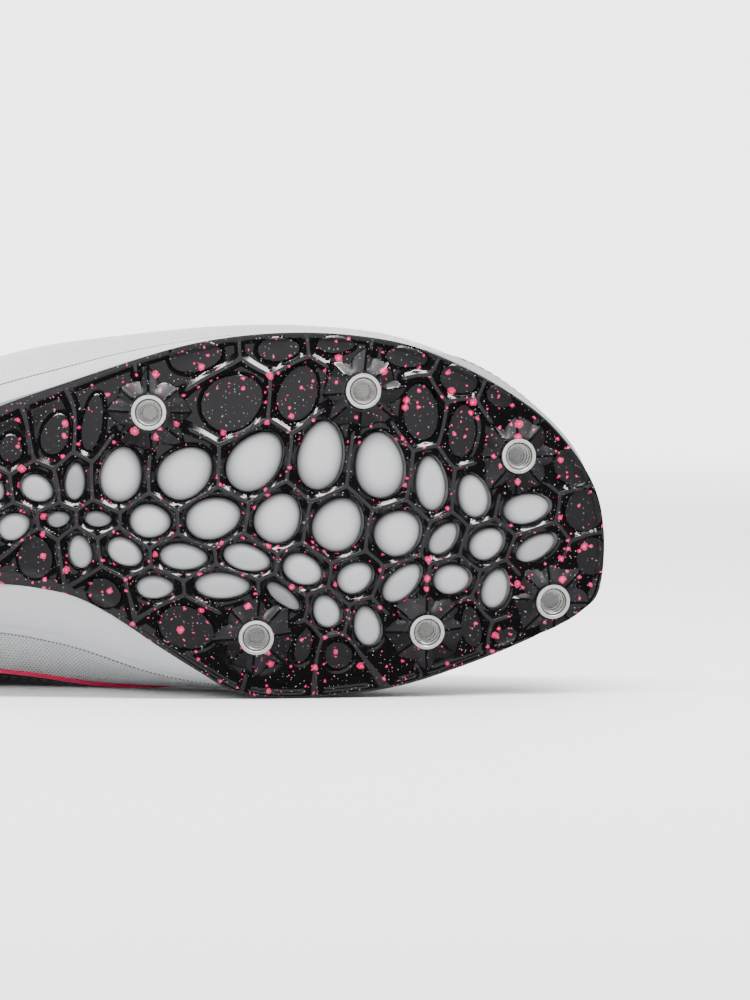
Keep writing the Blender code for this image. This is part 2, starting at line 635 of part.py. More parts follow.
def make_insole(collection, frame, finish):
    """Footbed on the foam, clear of the upper's wall."""
    loop = inset_loop(side_loops()[1], UPPER_WALL + INSOLE_CLEARANCE)

    def face(lift):
        return lambda x, z: foam_top(x) + CLEARANCE + lift

    rings = [inner_ring(loop, share, face(0.0)) for share in (MIDDLE_SHARE, 0.0)]
    rings += [inner_ring(loop, share, face(INSOLE_THICKNESS)) for share in (0.0, MIDDLE_SHARE)]
    bm = loft(rings, True, cap_first=True, cap_last=True)
    add_object("insole", mesh_from_bmesh("insole", bm, SHARP_FOAM), finish, collection, frame)


def lace_path(outer, inner):
    """Middle line of one lace bar, from eyelet to eyelet over the throat."""
    seat = OVERLAY_STEP + LACE_SEAT + LACE_THICKNESS / 2.0

    def above(place, level, lift):
        return section_point(place, level) + section_normal(place, level) * lift

    start = above(outer, LACE_END_LEVEL, seat)
    first = above(outer, LEVELS[-1], seat + CLEARANCE)
    last = above(inner, LEVELS[-1], seat + CLEARANCE)
    end = above(inner, LACE_END_LEVEL, seat)
    crown = 0.5 * (first + last) + Vector((0.0, TONGUE_CROWN, 0.0))
    stops = [np.array(stop) for stop in (start, first, crown, last, end)]
    steps = (len(stops) - 1) / (LACE_STATIONS - 1)
    return [Vector(curve_point(stops, k * steps, False)) for k in range(LACE_STATIONS)]


def rim_run(place, towards):
    """Direction of the eyestay's edge at a section."""
    step = LACE_RUN_STEP * towards
    return section_point(place + step, LACE_RUN_LEVEL) - section_point(place - step, LACE_RUN_LEVEL)


def make_laces(collection, frame, finish):
    """Flat lace bars across the throat, each ending on the eyestay at its eyelets."""
    for number in range(LACE_BARS):
        share = LACE_FIRST + (LACE_LAST - LACE_FIRST) * number / (LACE_BARS - 1)
        outer, inner = throat_place(share)
        path = lace_path(outer, inner)
        outer_run = rim_run(outer, -1.0)
        inner_run = rim_run(inner, 1.0)
        rings = []
        for k, point in enumerate(path):
            after = path[min(k + 1, LACE_STATIONS - 1)]
            chord = (after - path[max(k - 1, 0)]).normalized()
            up = chord.cross(outer_run.lerp(inner_run, k / (LACE_STATIONS - 1))).normalized()
            if up.y < 0.0:
                up.negate()
            wide = up.cross(chord).normalized() * LACE_WIDTH / 2.0
            thick = up * LACE_THICKNESS / 2.0
            rings.append([point - wide - thick, point + wide - thick,
                          point + wide + thick, point - wide + thick])
        name = f"lace_bar_{number + 1}"
        bm = loft(rings, True, cap_first=True, cap_last=True)
        add_object(name, mesh_from_bmesh(name, bm), finish, collection, frame)


def resting_turn(points, centre):
    """Turn that puts the hull's face under the centre of mass flat on the floor."""
    bm = bmesh.new()
    for point in points:
        bm.verts.new(point)
    hull = bmesh.ops.convex_hull(bm, input=bm.verts)
    best = None
    for face in (item for item in hull["geom"] if isinstance(item, bmesh.types.BMFace)):
        normal = face.normal.copy()
        if (face.calc_center_median() - centre).dot(normal) < 0.0:
            normal.negate()
        if normal.z > REST_LIMIT:
            continue
        corners = [loop.vert.co.copy() for loop in face.loops]
        foot = centre + normal * (corners[0] - centre).dot(normal)
        sides = [(b - a).cross(foot - a).dot(normal)
                 for a, b in zip(corners, corners[1:] + corners[:1])]
        inside = min(sides) >= -1e-12 or max(sides) <= 1e-12
        if inside and (best is None or normal.z < best.z):
            best = normal
    bm.free()
    return best.rotation_difference(Vector((0.0, 0.0, -1.0))).to_matrix().to_4x4()


def settle(frame, pieces):
    """Rest the shoe on its side, with the origin below the middle of its box."""
    depsgraph = bpy.context.evaluated_depsgraph_get()
    points = []
    weight = 0.0
    moment = Vector()
    for piece in pieces:
        bm = bmesh.new()
        bm.from_object(piece, depsgraph)
        volume = bm.calc_volume()
        middle = sum((vert.co for vert in bm.verts), Vector()) / len(bm.verts)
        weight += volume
        moment += middle * volume
        points += [vert.co.copy() for vert in bm.verts]
        bm.free()
    turn = resting_turn(points, moment / weight)
    turned_points = [turn @ point for point in points]
    low = Vector([min(point[k] for point in turned_points) for k in range(3)])
    high = Vector([max(point[k] for point in turned_points) for k in range(3)])
    shift = Vector((-(low.x + high.x) / 2.0, -(low.y + high.y) / 2.0, -low.z))
    frame.matrix_world = Matrix.Translation(shift) @ turn


def main():
    for old in list(bpy.data.objects):
        bpy.data.objects.remove(old)
    shoe = bpy.data.collections.new("track_spike_shoe")
    helpers = bpy.data.collections.new("cutters")
    for collection in (shoe, helpers):
        bpy.context.scene.collection.children.link(collection)
    frame = bpy.data.objects.new("shoe_frame", None)
    shoe.objects.link(frame)
    plate_black = material("moulded_plate", (0.015, 0.014, 0.016), 0.25)
    foam_grey = material("foam", (0.60, 0.61, 0.62), 0.65)
    knit_grey = material("knit", (0.55, 0.57, 0.56), 0.80)
    lining_grey = material("lining", (0.20, 0.20, 0.21), 0.85)
    lace_white = material("lace", (0.75, 0.75, 0.75), 0.80)
    steel = material("steel", (0.62, 0.62, 0.60), 0.30, 1.0)
    make_plate(shoe, helpers, frame, plate_black)
    make_sockets(shoe, frame, steel)
    make_midsole(shoe, helpers, frame, foam_grey)
    make_upper(shoe, frame, knit_grey)
    make_tongue(shoe, frame, knit_grey)
    make_insole(shoe, frame, lining_grey)
    make_laces(shoe, frame, lace_white)
    bpy.context.view_layer.update()
    settle(frame, [piece for piece in shoe.objects if piece.type == "MESH"])


main()
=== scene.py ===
# %% [markdown]
# # A track spike shoe, seen from its sole
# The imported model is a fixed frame, in metres, and every new piece is built in its place. The shoe
# lies on its inner side. Its parts are still easiest to draw as a shoemaker sees them, so they
# are shaped in the shoe's own frame: X from heel to toe, Y from the sole up into the shoe and Z
# from the inner to the outer side. The last step of each piece lays it down on the floor.

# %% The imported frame
import json
import math
from collections import namedtuple

import bmesh
import bpy
import numpy as np
from mathutils import Matrix, Vector


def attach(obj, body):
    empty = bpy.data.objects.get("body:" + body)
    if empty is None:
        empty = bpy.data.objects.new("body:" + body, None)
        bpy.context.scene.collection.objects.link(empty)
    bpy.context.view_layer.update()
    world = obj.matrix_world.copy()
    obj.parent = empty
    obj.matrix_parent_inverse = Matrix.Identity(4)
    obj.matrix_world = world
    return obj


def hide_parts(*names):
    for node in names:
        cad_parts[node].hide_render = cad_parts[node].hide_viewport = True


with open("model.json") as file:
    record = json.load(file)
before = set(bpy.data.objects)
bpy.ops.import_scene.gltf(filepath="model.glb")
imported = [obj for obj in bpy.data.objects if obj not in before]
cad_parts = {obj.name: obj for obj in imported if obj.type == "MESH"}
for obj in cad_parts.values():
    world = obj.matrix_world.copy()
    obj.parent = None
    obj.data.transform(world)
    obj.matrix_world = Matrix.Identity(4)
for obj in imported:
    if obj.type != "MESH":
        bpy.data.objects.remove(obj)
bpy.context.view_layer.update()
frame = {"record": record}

# %% [markdown]
# ## Driving sizes
# A shoe is made on a last, a solid foot with a length, a ball width and an instep. The same few
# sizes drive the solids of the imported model, so the new pieces fit it without any fitting.

# %% Sizes of the shoe
LENGTH = 0.275
BALL_WIDTH = 0.094
COLLAR_HEIGHT = 0.068
TOE_SPRING = 0.018
ARCH_RISE = 0.005
HEEL_BEVEL = 0.003
CROWN = 0.0028
HEEL_STACK = 0.0215
BALL_STACK = 0.0120
TOE_STACK = 0.0090
BALL_POINT = 0.596
ARCH_POINT = 0.33
HEEL_POINT = 0.10
PLATE_FADE = (0.20, 0.28)
STACK_POINTS = (0.10, 0.72, 1.00)
PLATE_THICKNESS = 0.003
UPPER_WALL = 0.0018
CLEARANCE = 0.0003
MM = 0.001

# %% [markdown]
# ## Smooth curves
# Catmull-Rom curves pass through every row of a table, so a few given rows give a smooth
# outline. The functions take whole arrays of places at once, which keeps fine meshes quick.

# %% Curve helpers


def smooth_step(value):
    """0 below 0, 1 above 1, and a soft climb between."""
    value = np.clip(value, 0.0, 1.0)
    return value * value * (3.0 - 2.0 * value)


def unit(vectors):
    """The same directions with length 1, along an array's last axis."""
    return vectors / np.linalg.norm(vectors, axis=-1, keepdims=True)


def between(before, first, second, after, share):
    """Point of a Catmull-Rom curve between the first and the second of four neighbours."""
    return 0.5 * (2.0 * first + (second - before) * share
                  + (2.0 * before - 5.0 * first + 4.0 * second - after) * share ** 2
                  + (3.0 * first - before - 3.0 * second + after) * share ** 3)


def curve_points(rows, places, closed):
    """Points on a smooth curve through the rows, at places counted in rows."""
    rows = np.asarray(rows, float)
    places = np.asarray(places, float)
    count = len(rows)
    if not closed:
        rows = np.vstack([2.0 * rows[0] - rows[1], rows, 2.0 * rows[-1] - rows[-2]])
        start = np.clip(np.floor(places).astype(int), 0, count - 2)
        share = (places - start)[:, None]
        picked = [rows[start + k] for k in range(4)]
    else:
        start = np.floor(places).astype(int)
        share = (places - start)[:, None]
        picked = [rows[(start + k) % count] for k in (-1, 0, 1, 2)]
    return between(*picked, share)


def sole_height(x, z):
    """Height of the plate's plain outer face above the ground of the standing shoe."""
    share = np.asarray(x, float) / LENGTH
    toe = TOE_SPRING * ((share - BALL_POINT) / (1.0 - BALL_POINT)) ** 2
    front = ARCH_RISE * smooth_step((BALL_POINT - share) / (BALL_POINT - ARCH_POINT))
    back = ARCH_RISE * smooth_step((share - HEEL_POINT) / (ARCH_POINT - HEEL_POINT))
    heel = HEEL_BEVEL * ((HEEL_POINT - share) / HEEL_POINT) ** 2
    lift = np.where(share > BALL_POINT, toe,
                    np.where(share > ARCH_POINT, front, np.where(share > HEEL_POINT, back, heel)))
    return lift + CROWN * (2.0 * np.asarray(z, float) / BALL_WIDTH) ** 2


def foam_bottom(x, z):
    """Foam's lower face: on the ground at the heel, on the plate further forward."""
    fade = smooth_step((x / LENGTH - PLATE_FADE[0]) / (PLATE_FADE[1] - PLATE_FADE[0]))
    return sole_height(x, z) + fade * (PLATE_THICKNESS + CLEARANCE)


def foam_top(x):
    """Foam's upper face, level from side to side and flat under the heel."""
    heel, ball, toe = STACK_POINTS
    share = np.asarray(x, float) / LENGTH
    back = HEEL_STACK + (BALL_STACK - HEEL_STACK) * smooth_step((share - heel) / (ball - heel))
    front = BALL_STACK + (TOE_STACK - BALL_STACK) * smooth_step((share - ball) / (toe - ball))
    stack = np.where(share < ball, back, front)
    return stack + sole_height(np.maximum(x, HEEL_POINT * LENGTH), 0.0)


def sole_normal(x, z):
    """Direction out of the sole, away from the foot."""
    step = MM
    slope_x = (sole_height(x + step, z) - sole_height(x - step, z)) / (2.0 * step)
    slope_z = (sole_height(x, z + step) - sole_height(x, z - step)) / (2.0 * step)
    return Vector((slope_x, -1.0, slope_z)).normalized()


def seat_matrix(x, z, lift):
    """Frame whose Z points out of the sole at a place, lifted above the plate's plain face."""
    normal = sole_normal(x, z)
    place = Vector((x, float(sole_height(x, z)), z)) + normal * lift
    turn = normal.to_track_quat("Z", "X").to_matrix().to_4x4()
    return Matrix.Translation(place) @ turn


print("ball of the sole", round(float(sole_height(BALL_POINT * LENGTH, 0.0)) / MM, 2), "mm")

# %% [markdown]
# ## The sole's layout
# The plate of a sprint shoe is a net of stiff ribs. Its open cells let the foam bulge through, its
# blind cells keep a thin floor, and steel sockets for the spikes stand where the foot pushes off.
# A cell is a place, a long and a short diameter, both as shares of the ball width, and a turn.

# %% Tables of the sole
OutlineRow = namedtuple("OutlineRow", "along across")
PLATE_OUTLINE = [OutlineRow(*row) for row in (
    (0.288, -0.065), (0.308, 0.065), (0.360, 0.180), (0.434, 0.270), (0.511, 0.349),
    (0.586, 0.419), (0.640, 0.453), (0.700, 0.468), (0.760, 0.461), (0.814, 0.433),
    (0.860, 0.380), (0.905, 0.308), (0.945, 0.222), (0.975, 0.118), (0.993, 0.020),
    (1.000, -0.080), (1.000, -0.180), (0.995, -0.262), (0.983, -0.303), (0.962, -0.340),
    (0.920, -0.395), (0.870, -0.450), (0.810, -0.503), (0.750, -0.528), (0.694, -0.535),
    (0.652, -0.515), (0.619, -0.459), (0.580, -0.385), (0.540, -0.305), (0.505, -0.252),
    (0.470, -0.228), (0.434, -0.218), (0.375, -0.222), (0.314, -0.185))]

Cell = namedtuple("Cell", "along across long short turn")
OPEN_CELLS = [Cell(*row) for row in (
    (0.428, 0.040, 0.07, 0.06, 90), (0.468, 0.046, 0.10, 0.08, -25), (0.504, 0.066, 0.11, 0.06, 85),
    (0.547, 0.086, 0.16, 0.12, 80), (0.607, 0.090, 0.17, 0.14, 40), (0.672, 0.121, 0.19, 0.14, 50),
    (0.733, 0.136, 0.20, 0.13, 80), (0.788, 0.107, 0.19, 0.14, 95), (0.836, 0.055, 0.16, 0.09, 95),
    (0.876, 0.018, 0.13, 0.09, 105), (0.927, -0.021, 0.14, 0.09, 8),
    (0.446, -0.059, 0.10, 0.08, 25), (0.488, -0.038, 0.07, 0.05, 10), (0.525, -0.037, 0.08, 0.05, -5),
    (0.574, -0.042, 0.12, 0.10, -5), (0.633, -0.034, 0.16, 0.12, 15), (0.693, -0.035, 0.15, 0.13, 60),
    (0.749, -0.054, 0.16, 0.14, 60), (0.805, -0.080, 0.14, 0.13, 40), (0.848, -0.098, 0.11, 0.07, 50),
    (0.889, -0.115, 0.11, 0.09, 35), (0.936, -0.129, 0.13, 0.07, 28),
    (0.508, -0.127, 0.10, 0.07, 100), (0.550, -0.127, 0.11, 0.08, -30), (0.605, -0.140, 0.14, 0.08, -5),
    (0.664, -0.144, 0.14, 0.08, -15), (0.716, -0.178, 0.12, 0.09, -25), (0.765, -0.202, 0.11, 0.09, 30),
    (0.809, -0.218, 0.14, 0.08, 45), (0.856, -0.212, 0.11, 0.09, 5), (0.897, -0.241, 0.12, 0.08, 75),
    (0.578, -0.224, 0.11, 0.07, 0), (0.641, -0.220, 0.16, 0.08, -2), (0.698, -0.251, 0.12, 0.05, -40),
    (0.738, -0.294, 0.10, 0.08, 110), (0.776, -0.337, 0.12, 0.08, 100))]
BLIND_CELLS = [Cell(*row) for row in (
    (0.444, 0.155, 0.08, 0.07, 90), (0.486, 0.194, 0.12, 0.08, 70), (0.521, 0.227, 0.16, 0.06, 80),
    (0.651, 0.281, 0.18, 0.15, 30), (0.712, 0.305, 0.16, 0.11, 70), (0.617, 0.406, 0.15, 0.09, 8),
    (0.694, 0.424, 0.12, 0.07, 3), (0.747, 0.435, 0.11, 0.05, 0), (0.826, 0.251, 0.16, 0.10, 95),
    (0.865, 0.197, 0.15, 0.08, 85), (0.813, 0.399, 0.12, 0.06, -8), (0.862, 0.337, 0.11, 0.08, -20),
    (0.900, 0.289, 0.08, 0.06, -35), (0.970, 0.090, 0.12, 0.10, -55), (0.981, -0.030, 0.12, 0.11, 90),
    (0.989, -0.159, 0.11, 0.09, 85), (0.716, -0.389, 0.10, 0.05, 75), (0.749, -0.417, 0.08, 0.08, 0),
    (0.874, -0.345, 0.12, 0.06, 100), (0.907, -0.376, 0.07, 0.05, 20), (0.607, -0.336, 0.16, 0.12, -20),
    (0.531, -0.240, 0.10, 0.08, -30), (0.466, -0.143, 0.12, 0.10, 90))]
CELL_EGG = 0.10

Socket = namedtuple("Socket", "along across")
SOCKETS = [Socket(*row) for row in (
    (0.574, 0.254), (0.772, 0.309), (0.917, 0.126), (0.950, -0.279), (0.831, -0.353), (0.672, -0.360))]
SOCKET_FLANGE = 0.0090
SOCKET_BORE = 0.0052
SOCKET_CHAMFER = 0.0004
SOCKET_FLOOR = 0.0008
SOCKET_BODY = 0.0074
FLANGE_THICKNESS = 0.0009
BOSS_HEIGHT = 0.0019

print(len(OPEN_CELLS), "open cells,", len(BLIND_CELLS), "blind cells,", len(SOCKETS), "sockets")

# %% [markdown]
# ## Laying the shoe down
# The record has a mount on each socket's ring. The same six places in the shoe's own frame and in
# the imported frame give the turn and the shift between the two, by a least-squares fit.

# %% From the shoe's frame to the floor
MOUNT_REACH = 0.97 * (SOCKET_FLANGE / 2.0 + SOCKET_BORE / 2.0 + SOCKET_CHAMFER) / 2.0


def laying_matrix():
    """Matrix that takes the shoe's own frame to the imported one."""
    seats = [seat_matrix(row.along * LENGTH, row.across * BALL_WIDTH, BOSS_HEIGHT) for row in SOCKETS]
    own = np.array([seat @ Vector((MOUNT_REACH, 0.0, 0.0)) for seat in seats])
    packed = np.array([mount["pos_m"] for mount in frame["record"]["mounts"]])
    left, _, right = np.linalg.svd((own - own.mean(0)).T @ (packed - packed.mean(0)))
    turn = (left @ right).T
    shift = packed.mean(0) - turn @ own.mean(0)
    worst = np.abs(own @ turn.T + shift - packed).max()
    print("laid down to within", round(worst / MM, 4), "mm")
    return Matrix.Translation(Vector(shift)) @ Matrix(turn.tolist()).to_4x4()


LAY = laying_matrix()

# %% [markdown]
# ## Materials by arithmetic
# A procedural material is a formula. A small class wraps a socket, so that a formula is written as
# Python arithmetic and Blender gets its Math nodes. Every other node comes from one method.

# %% Material helpers


class Value:
    """One output of a node; arithmetic on it adds Math nodes."""

    def __init__(self, finish, socket):
        self.finish = finish
        self.socket = socket

    def output(self, name):
        """Another output of the same node."""
        return Value(self.finish, self.socket.node.outputs[name])

    def math(self, operation, *others):
        """The result of a Math node on the given values."""
        made = self.finish.tree.nodes.new("ShaderNodeMath")
        made.operation = operation
        for slot, value in zip(made.inputs, others):
            if isinstance(value, Value):
                self.finish.tree.links.new(value.socket, slot)
            else:
                slot.default_value = value
        return Value(self.finish, made.outputs[0])

    def __add__(self, other):
        return self.math("ADD", self, other)

    def __radd__(self, other):
        return self.math("ADD", other, self)

    def __sub__(self, other):
        return self.math("SUBTRACT", self, other)

    def __rsub__(self, other):
        return self.math("SUBTRACT", other, self)

    def __mul__(self, other):
        return self.math("MULTIPLY", self, other)

    def __rmul__(self, other):
        return self.math("MULTIPLY", other, self)

    def __truediv__(self, other):
        return self.math("DIVIDE", self, other)

    def highest(self, other):
        """The larger of the two."""
        return self.math("MAXIMUM", self, other)

    def alone(self, operation):
        """The value after an operation that needs nothing else, such as FLOOR or SQRT."""
        return self.math(operation, self)

    def ramp(self, low, high):
        """0 at low, 1 at high, with a soft climb; low may be above high."""
        return self.finish.node("MapRange", {"interpolation_type": "SMOOTHSTEP"},
                                {"Value": self, "From Min": low, "From Max": high})

    def wave(self, period):
        """A sine between 0 and 1 with the given period."""
        return self.math("SINE", self * (2.0 * math.pi / period)) * 0.5 + 0.5


class Finish:
    """A material in the making: its nodes and its Principled shader."""

    def __init__(self, name, slot, **constants):
        self.material = bpy.data.materials.new(name)
        self.material.use_nodes = True
        self.tree = self.material.node_tree
        self.shader = self.tree.nodes["Principled BSDF"]
        self.slot = slot
        for socket, value in constants.items():
            self.shader.inputs[socket.replace("_", " ")].default_value = value

    def node(self, kind, settings, sockets, output=0):
        """Any node: its type, its settings, then the values or links of its sockets."""
        made = self.tree.nodes.new("ShaderNode" + kind)
        for name, value in settings.items():
            setattr(made, name, value)
        for name, value in sockets.items():
            if isinstance(value, Value):
                self.tree.links.new(value.socket, made.inputs[name])
            else:
                made.inputs[name].default_value = value
        return Value(self, made.outputs[output])

    def place(self):
        """Object coordinates, in metres."""
        return self.node("TexCoord", {}, {}, "Object")

    def noise(self, size, detail=2.0, place=None):
        """Soft noise from 0 to 1 with patches of about the given size in metres."""
        place = place or self.place()
        return self.node("TexNoise", {}, {"Vector": place, "Scale": 1.0 / size, "Detail": detail})

    def weave(self):
        """Both coordinates of the piece's own UV map, in metres."""
        woven = self.node("UVMap", {"uv_map": "weave"}, {}, "UV")
        across = self.node("SeparateXYZ", {}, {"Vector": woven}, "X")
        return across, across.output("Y")

    def attribute(self, name):
        """A number kept on the mesh's points."""
        return self.node("Attribute", {"attribute_name": name}, {}, "Fac")

    def mix(self, factor, first, second):
        """Colour between two colours."""
        return self.node("Mix", {"data_type": "RGBA"}, {0: factor, 6: first, 7: second}, 2)

    def feed(self, socket, value):
        """Links a value to a socket of the shader."""
        self.tree.links.new(value.socket, self.shader.inputs[socket])

    def bump(self, height, distance, strength=1.0):
        """Relief from a height of 0 to 1, as deep as the distance in metres."""
        self.feed("Normal", self.node("Bump", {}, {"Height": height, "Distance": distance,
                                                   "Strength": strength}))


def colour(red, green, blue):
    """Linear colour from the 0 to 255 values seen on a screen."""
    shares = [value / 255.0 for value in (red, green, blue)]
    return tuple(share / 12.92 if share < 0.04045 else ((share + 0.055) / 1.055) ** 2.4
                 for share in shares) + (1.0,)


print("helpers for materials ready")

# %% [markdown]
# ## Finishing a piece
# A bmesh becomes an object in one place. It gets its faces turned outwards, its angles kept crisp
# or soft, and its place on the floor. The object itself stays at the origin, unturned.

# %% Piece helper


def finish_piece(name, bm, finish, replaced=(), crisp=30.0, outward=True):
    """Lays a bmesh made in the shoe's frame on the floor as a named piece."""
    if outward:
        bmesh.ops.recalc_face_normals(bm, faces=bm.faces)
    bmesh.ops.transform(bm, matrix=LAY, verts=bm.verts)
    mesh = bpy.data.meshes.new(name)
    bm.to_mesh(mesh)
    bm.free()
    mesh.shade_smooth()
    mesh.set_sharp_from_angle(angle=math.radians(crisp))
    mesh.materials.append(finish.material)
    piece = bpy.data.objects.new(name, mesh)
    bpy.context.scene.collection.objects.link(piece)
    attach(piece, "root")
    if replaced:
        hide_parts(*replaced)
    print(name, len(mesh.polygons), "faces")
    return piece


def positions(bm):
    """Places of a bmesh's vertices as an array."""
    return np.array([vert.co[:] for vert in bm.verts])


def place_all(bm, points):
    """Moves each vertex of a bmesh to its row of an array."""
    for vert, point in zip(bm.verts, points):
        vert.co = point


# %% [markdown]
# ## The plate's relief
# Seen close up, the net has a thin ridge half-way between neighbouring cells, with glossy slopes
# down to each cell. A distance to every cell's edge gives that: where the two smallest distances
# are equal there is a ridge. Round each socket eight ribs run out like the rays of a star.

# %% Distances to the cells
SITES = OPEN_CELLS + BLIND_CELLS
FIRST_BLIND = len(OPEN_CELLS)


def cell_distances(points):
    """Distance from each point to each cell's edge, less than 0 inside: points by cells."""
    distances = []
    for cell in SITES:
        turn = math.radians(cell.turn)
        offset = points - (cell.along * LENGTH, cell.across * BALL_WIDTH)
        along = offset[:, 0] * math.cos(turn) + offset[:, 1] * math.sin(turn)
        across = offset[:, 1] * math.cos(turn) - offset[:, 0] * math.sin(turn)
        reach = cell.long * BALL_WIDTH / 2.0
        egg = 1.0 - CELL_EGG * np.clip(along / reach, -1.0, 1.0)
        breadth = cell.short * BALL_WIDTH / 2.0 * egg
        size = np.sqrt((along / reach) ** 2 + (across / breadth) ** 2) + 1e-9
        slope = np.sqrt((along / reach ** 2) ** 2 + (across / breadth ** 2) ** 2) + 1e-9
        distances.append((size - 1.0) * size / slope)
    return np.array(distances).T


OUTLINE_LOOP = curve_points([(row.along * LENGTH, row.across * BALL_WIDTH) for row in PLATE_OUTLINE],
                            np.arange(0.0, len(PLATE_OUTLINE), 0.1), True)


def edge_distance(points):
    """Distance inwards from the plate's outline, less than 0 outside."""
    start = OUTLINE_LOOP
    run = np.roll(OUTLINE_LOOP, -1, axis=0) - start
    best = np.full(len(points), 1.0)
    inside = np.zeros(len(points), bool)
    for (x, z), (run_x, run_z) in zip(start, run):
        off_x = points[:, 0] - x
        off_z = points[:, 1] - z
        share = np.clip((off_x * run_x + off_z * run_z) / (run_x ** 2 + run_z ** 2), 0.0, 1.0)
        best = np.minimum(best, np.hypot(off_x - share * run_x, off_z - share * run_z))
        crosses = (off_z >= 0.0) != (off_z - run_z >= 0.0)
        inside ^= crosses & (off_x < off_z * run_x / (run_z if run_z else 1e-12))
    return np.where(inside, best, -best)


print(len(OUTLINE_LOOP), "points on the plate's outline")

# %% Heights of the relief
RIDGE = 0.45 * MM
RIDGE_HALF = 0.42 * MM
FLANK = 0.95 * MM
FLANK_DROP = 0.80 * MM
LIP = 1.1 * MM
LIP_DROP = 0.35 * MM
PAD_RISE = 0.32 * MM
PAD_ROUND = 0.40 * MM
EDGE_LEVEL = 0.1 * MM
INNER_EDGE = ((0.30, 0.36, 0.50, 0.62), (7.5 * MM, 7.0 * MM, 3.6 * MM, 2.2 * MM))
OUTER_EDGE = ((0.30, 0.44, 0.56, 0.70), (4.6 * MM, 4.2 * MM, 2.4 * MM, 2.0 * MM))
SIDE_BLEND = 8.0 * MM
BAND_START = 0.55
BORDER_SHARE = 0.9
BORDER_BARE = 1.4 * MM
PAD_MARGIN = 0.38 * MM
SOCKET_HOLE = 0.5 * SOCKET_FLANGE + 0.5 * CLEARANCE
STAR_RIBS = 8
STAR_REACH = 11.2 * MM
STAR_WAIST = 8.4 * MM
STAR_ROOT = 5.0 * MM
STAR_WOBBLE = 0.26
STAR_UNEVEN = 0.12
STAR_FLOOR = -0.6 * MM
STAR_CLEARING = (8.0 * MM, 11.5 * MM)
RIB_HALF = 0.30 * MM
RIB_RISE = 0.22 * MM
RIB_FOOT = 0.60 * MM
RIM_SINK = 0.04 * MM
STAR_SLOPE = 0.35
STAR_GLOSS = 2.0 * MM
# Painted sheen of the star's facets: a grey that changes from facet to facet, standing in for the light
# each one mirrors.
STAR_SHEEN = 0.62
STAR_SHEEN_SPREAD = 0.38
PAD_TONE = 0.45
PAD_SIDE = 6
PAD_TOP = 7
STAR_LABEL = 20000
SOCKET_LABEL = 30000
OUTSIDE_LABEL = -1


def star_rays(number):
    """Angles and reaches of a socket's ribs and of the folds between them, a little uneven."""
    folds = np.arange(2 * STAR_RIBS)
    angles = (folds + STAR_WOBBLE * np.sin(folds * 2.3 + number * 1.7)) * math.pi / STAR_RIBS
    reaches = np.where(folds % 2 == 0, STAR_REACH, STAR_WAIST)
    reaches = reaches * (1.0 + STAR_UNEVEN * np.sin(folds * 1.9 + number))
    angles = np.concatenate([angles[-1:] - 2.0 * math.pi, angles, angles[:1] + 2.0 * math.pi])
    return angles, np.concatenate([reaches[-1:], reaches, reaches[:1]])


def star_lift(points):
    """Lift of the star round the nearest socket, its fold, and distances to socket and rib."""
    centres = np.array([(row.along * LENGTH, row.across * BALL_WIDTH) for row in SOCKETS])
    offsets = points[:, None, :] - centres[None, :, :]
    radii = np.hypot(offsets[..., 0], offsets[..., 1])
    nearest = radii.argmin(1)
    picked = np.arange(len(points))
    radius = radii[picked, nearest]
    turn = np.arctan2(offsets[picked, nearest, 1], offsets[picked, nearest, 0]) % (2.0 * math.pi)
    lift = np.full(len(points), STAR_FLOOR)
    fold = np.zeros(len(points), int)
    aside = np.zeros(len(points))
    for number in range(len(SOCKETS)):
        mine = nearest == number
        angles, reaches = star_rays(number)
        reach = np.interp(turn[mine], angles, reaches)
        share = (reach - radius[mine]) / (reach - STAR_ROOT)
        lift[mine] = STAR_FLOOR + (BOSS_HEIGHT - STAR_FLOOR) * np.minimum(share, 1.0)
        fold[mine] = np.searchsorted(angles, turn[mine]) + 100 * number
        ribs = np.append(angles[1:-1:2], angles[1] + 2.0 * math.pi)
        aside[mine] = np.abs(turn[mine][:, None] - ribs[None, :]).min(1) * radius[mine]
    rib = RIB_RISE * np.clip(1.0 - aside / RIB_FOOT, 0.0, 1.0) * (lift > STAR_FLOOR)
    lift = np.minimum(lift + rib, BOSS_HEIGHT - RIM_SINK)
    return lift, fold, radius, aside


Relief = namedtuple("Relief", "lift label satin tone hole")


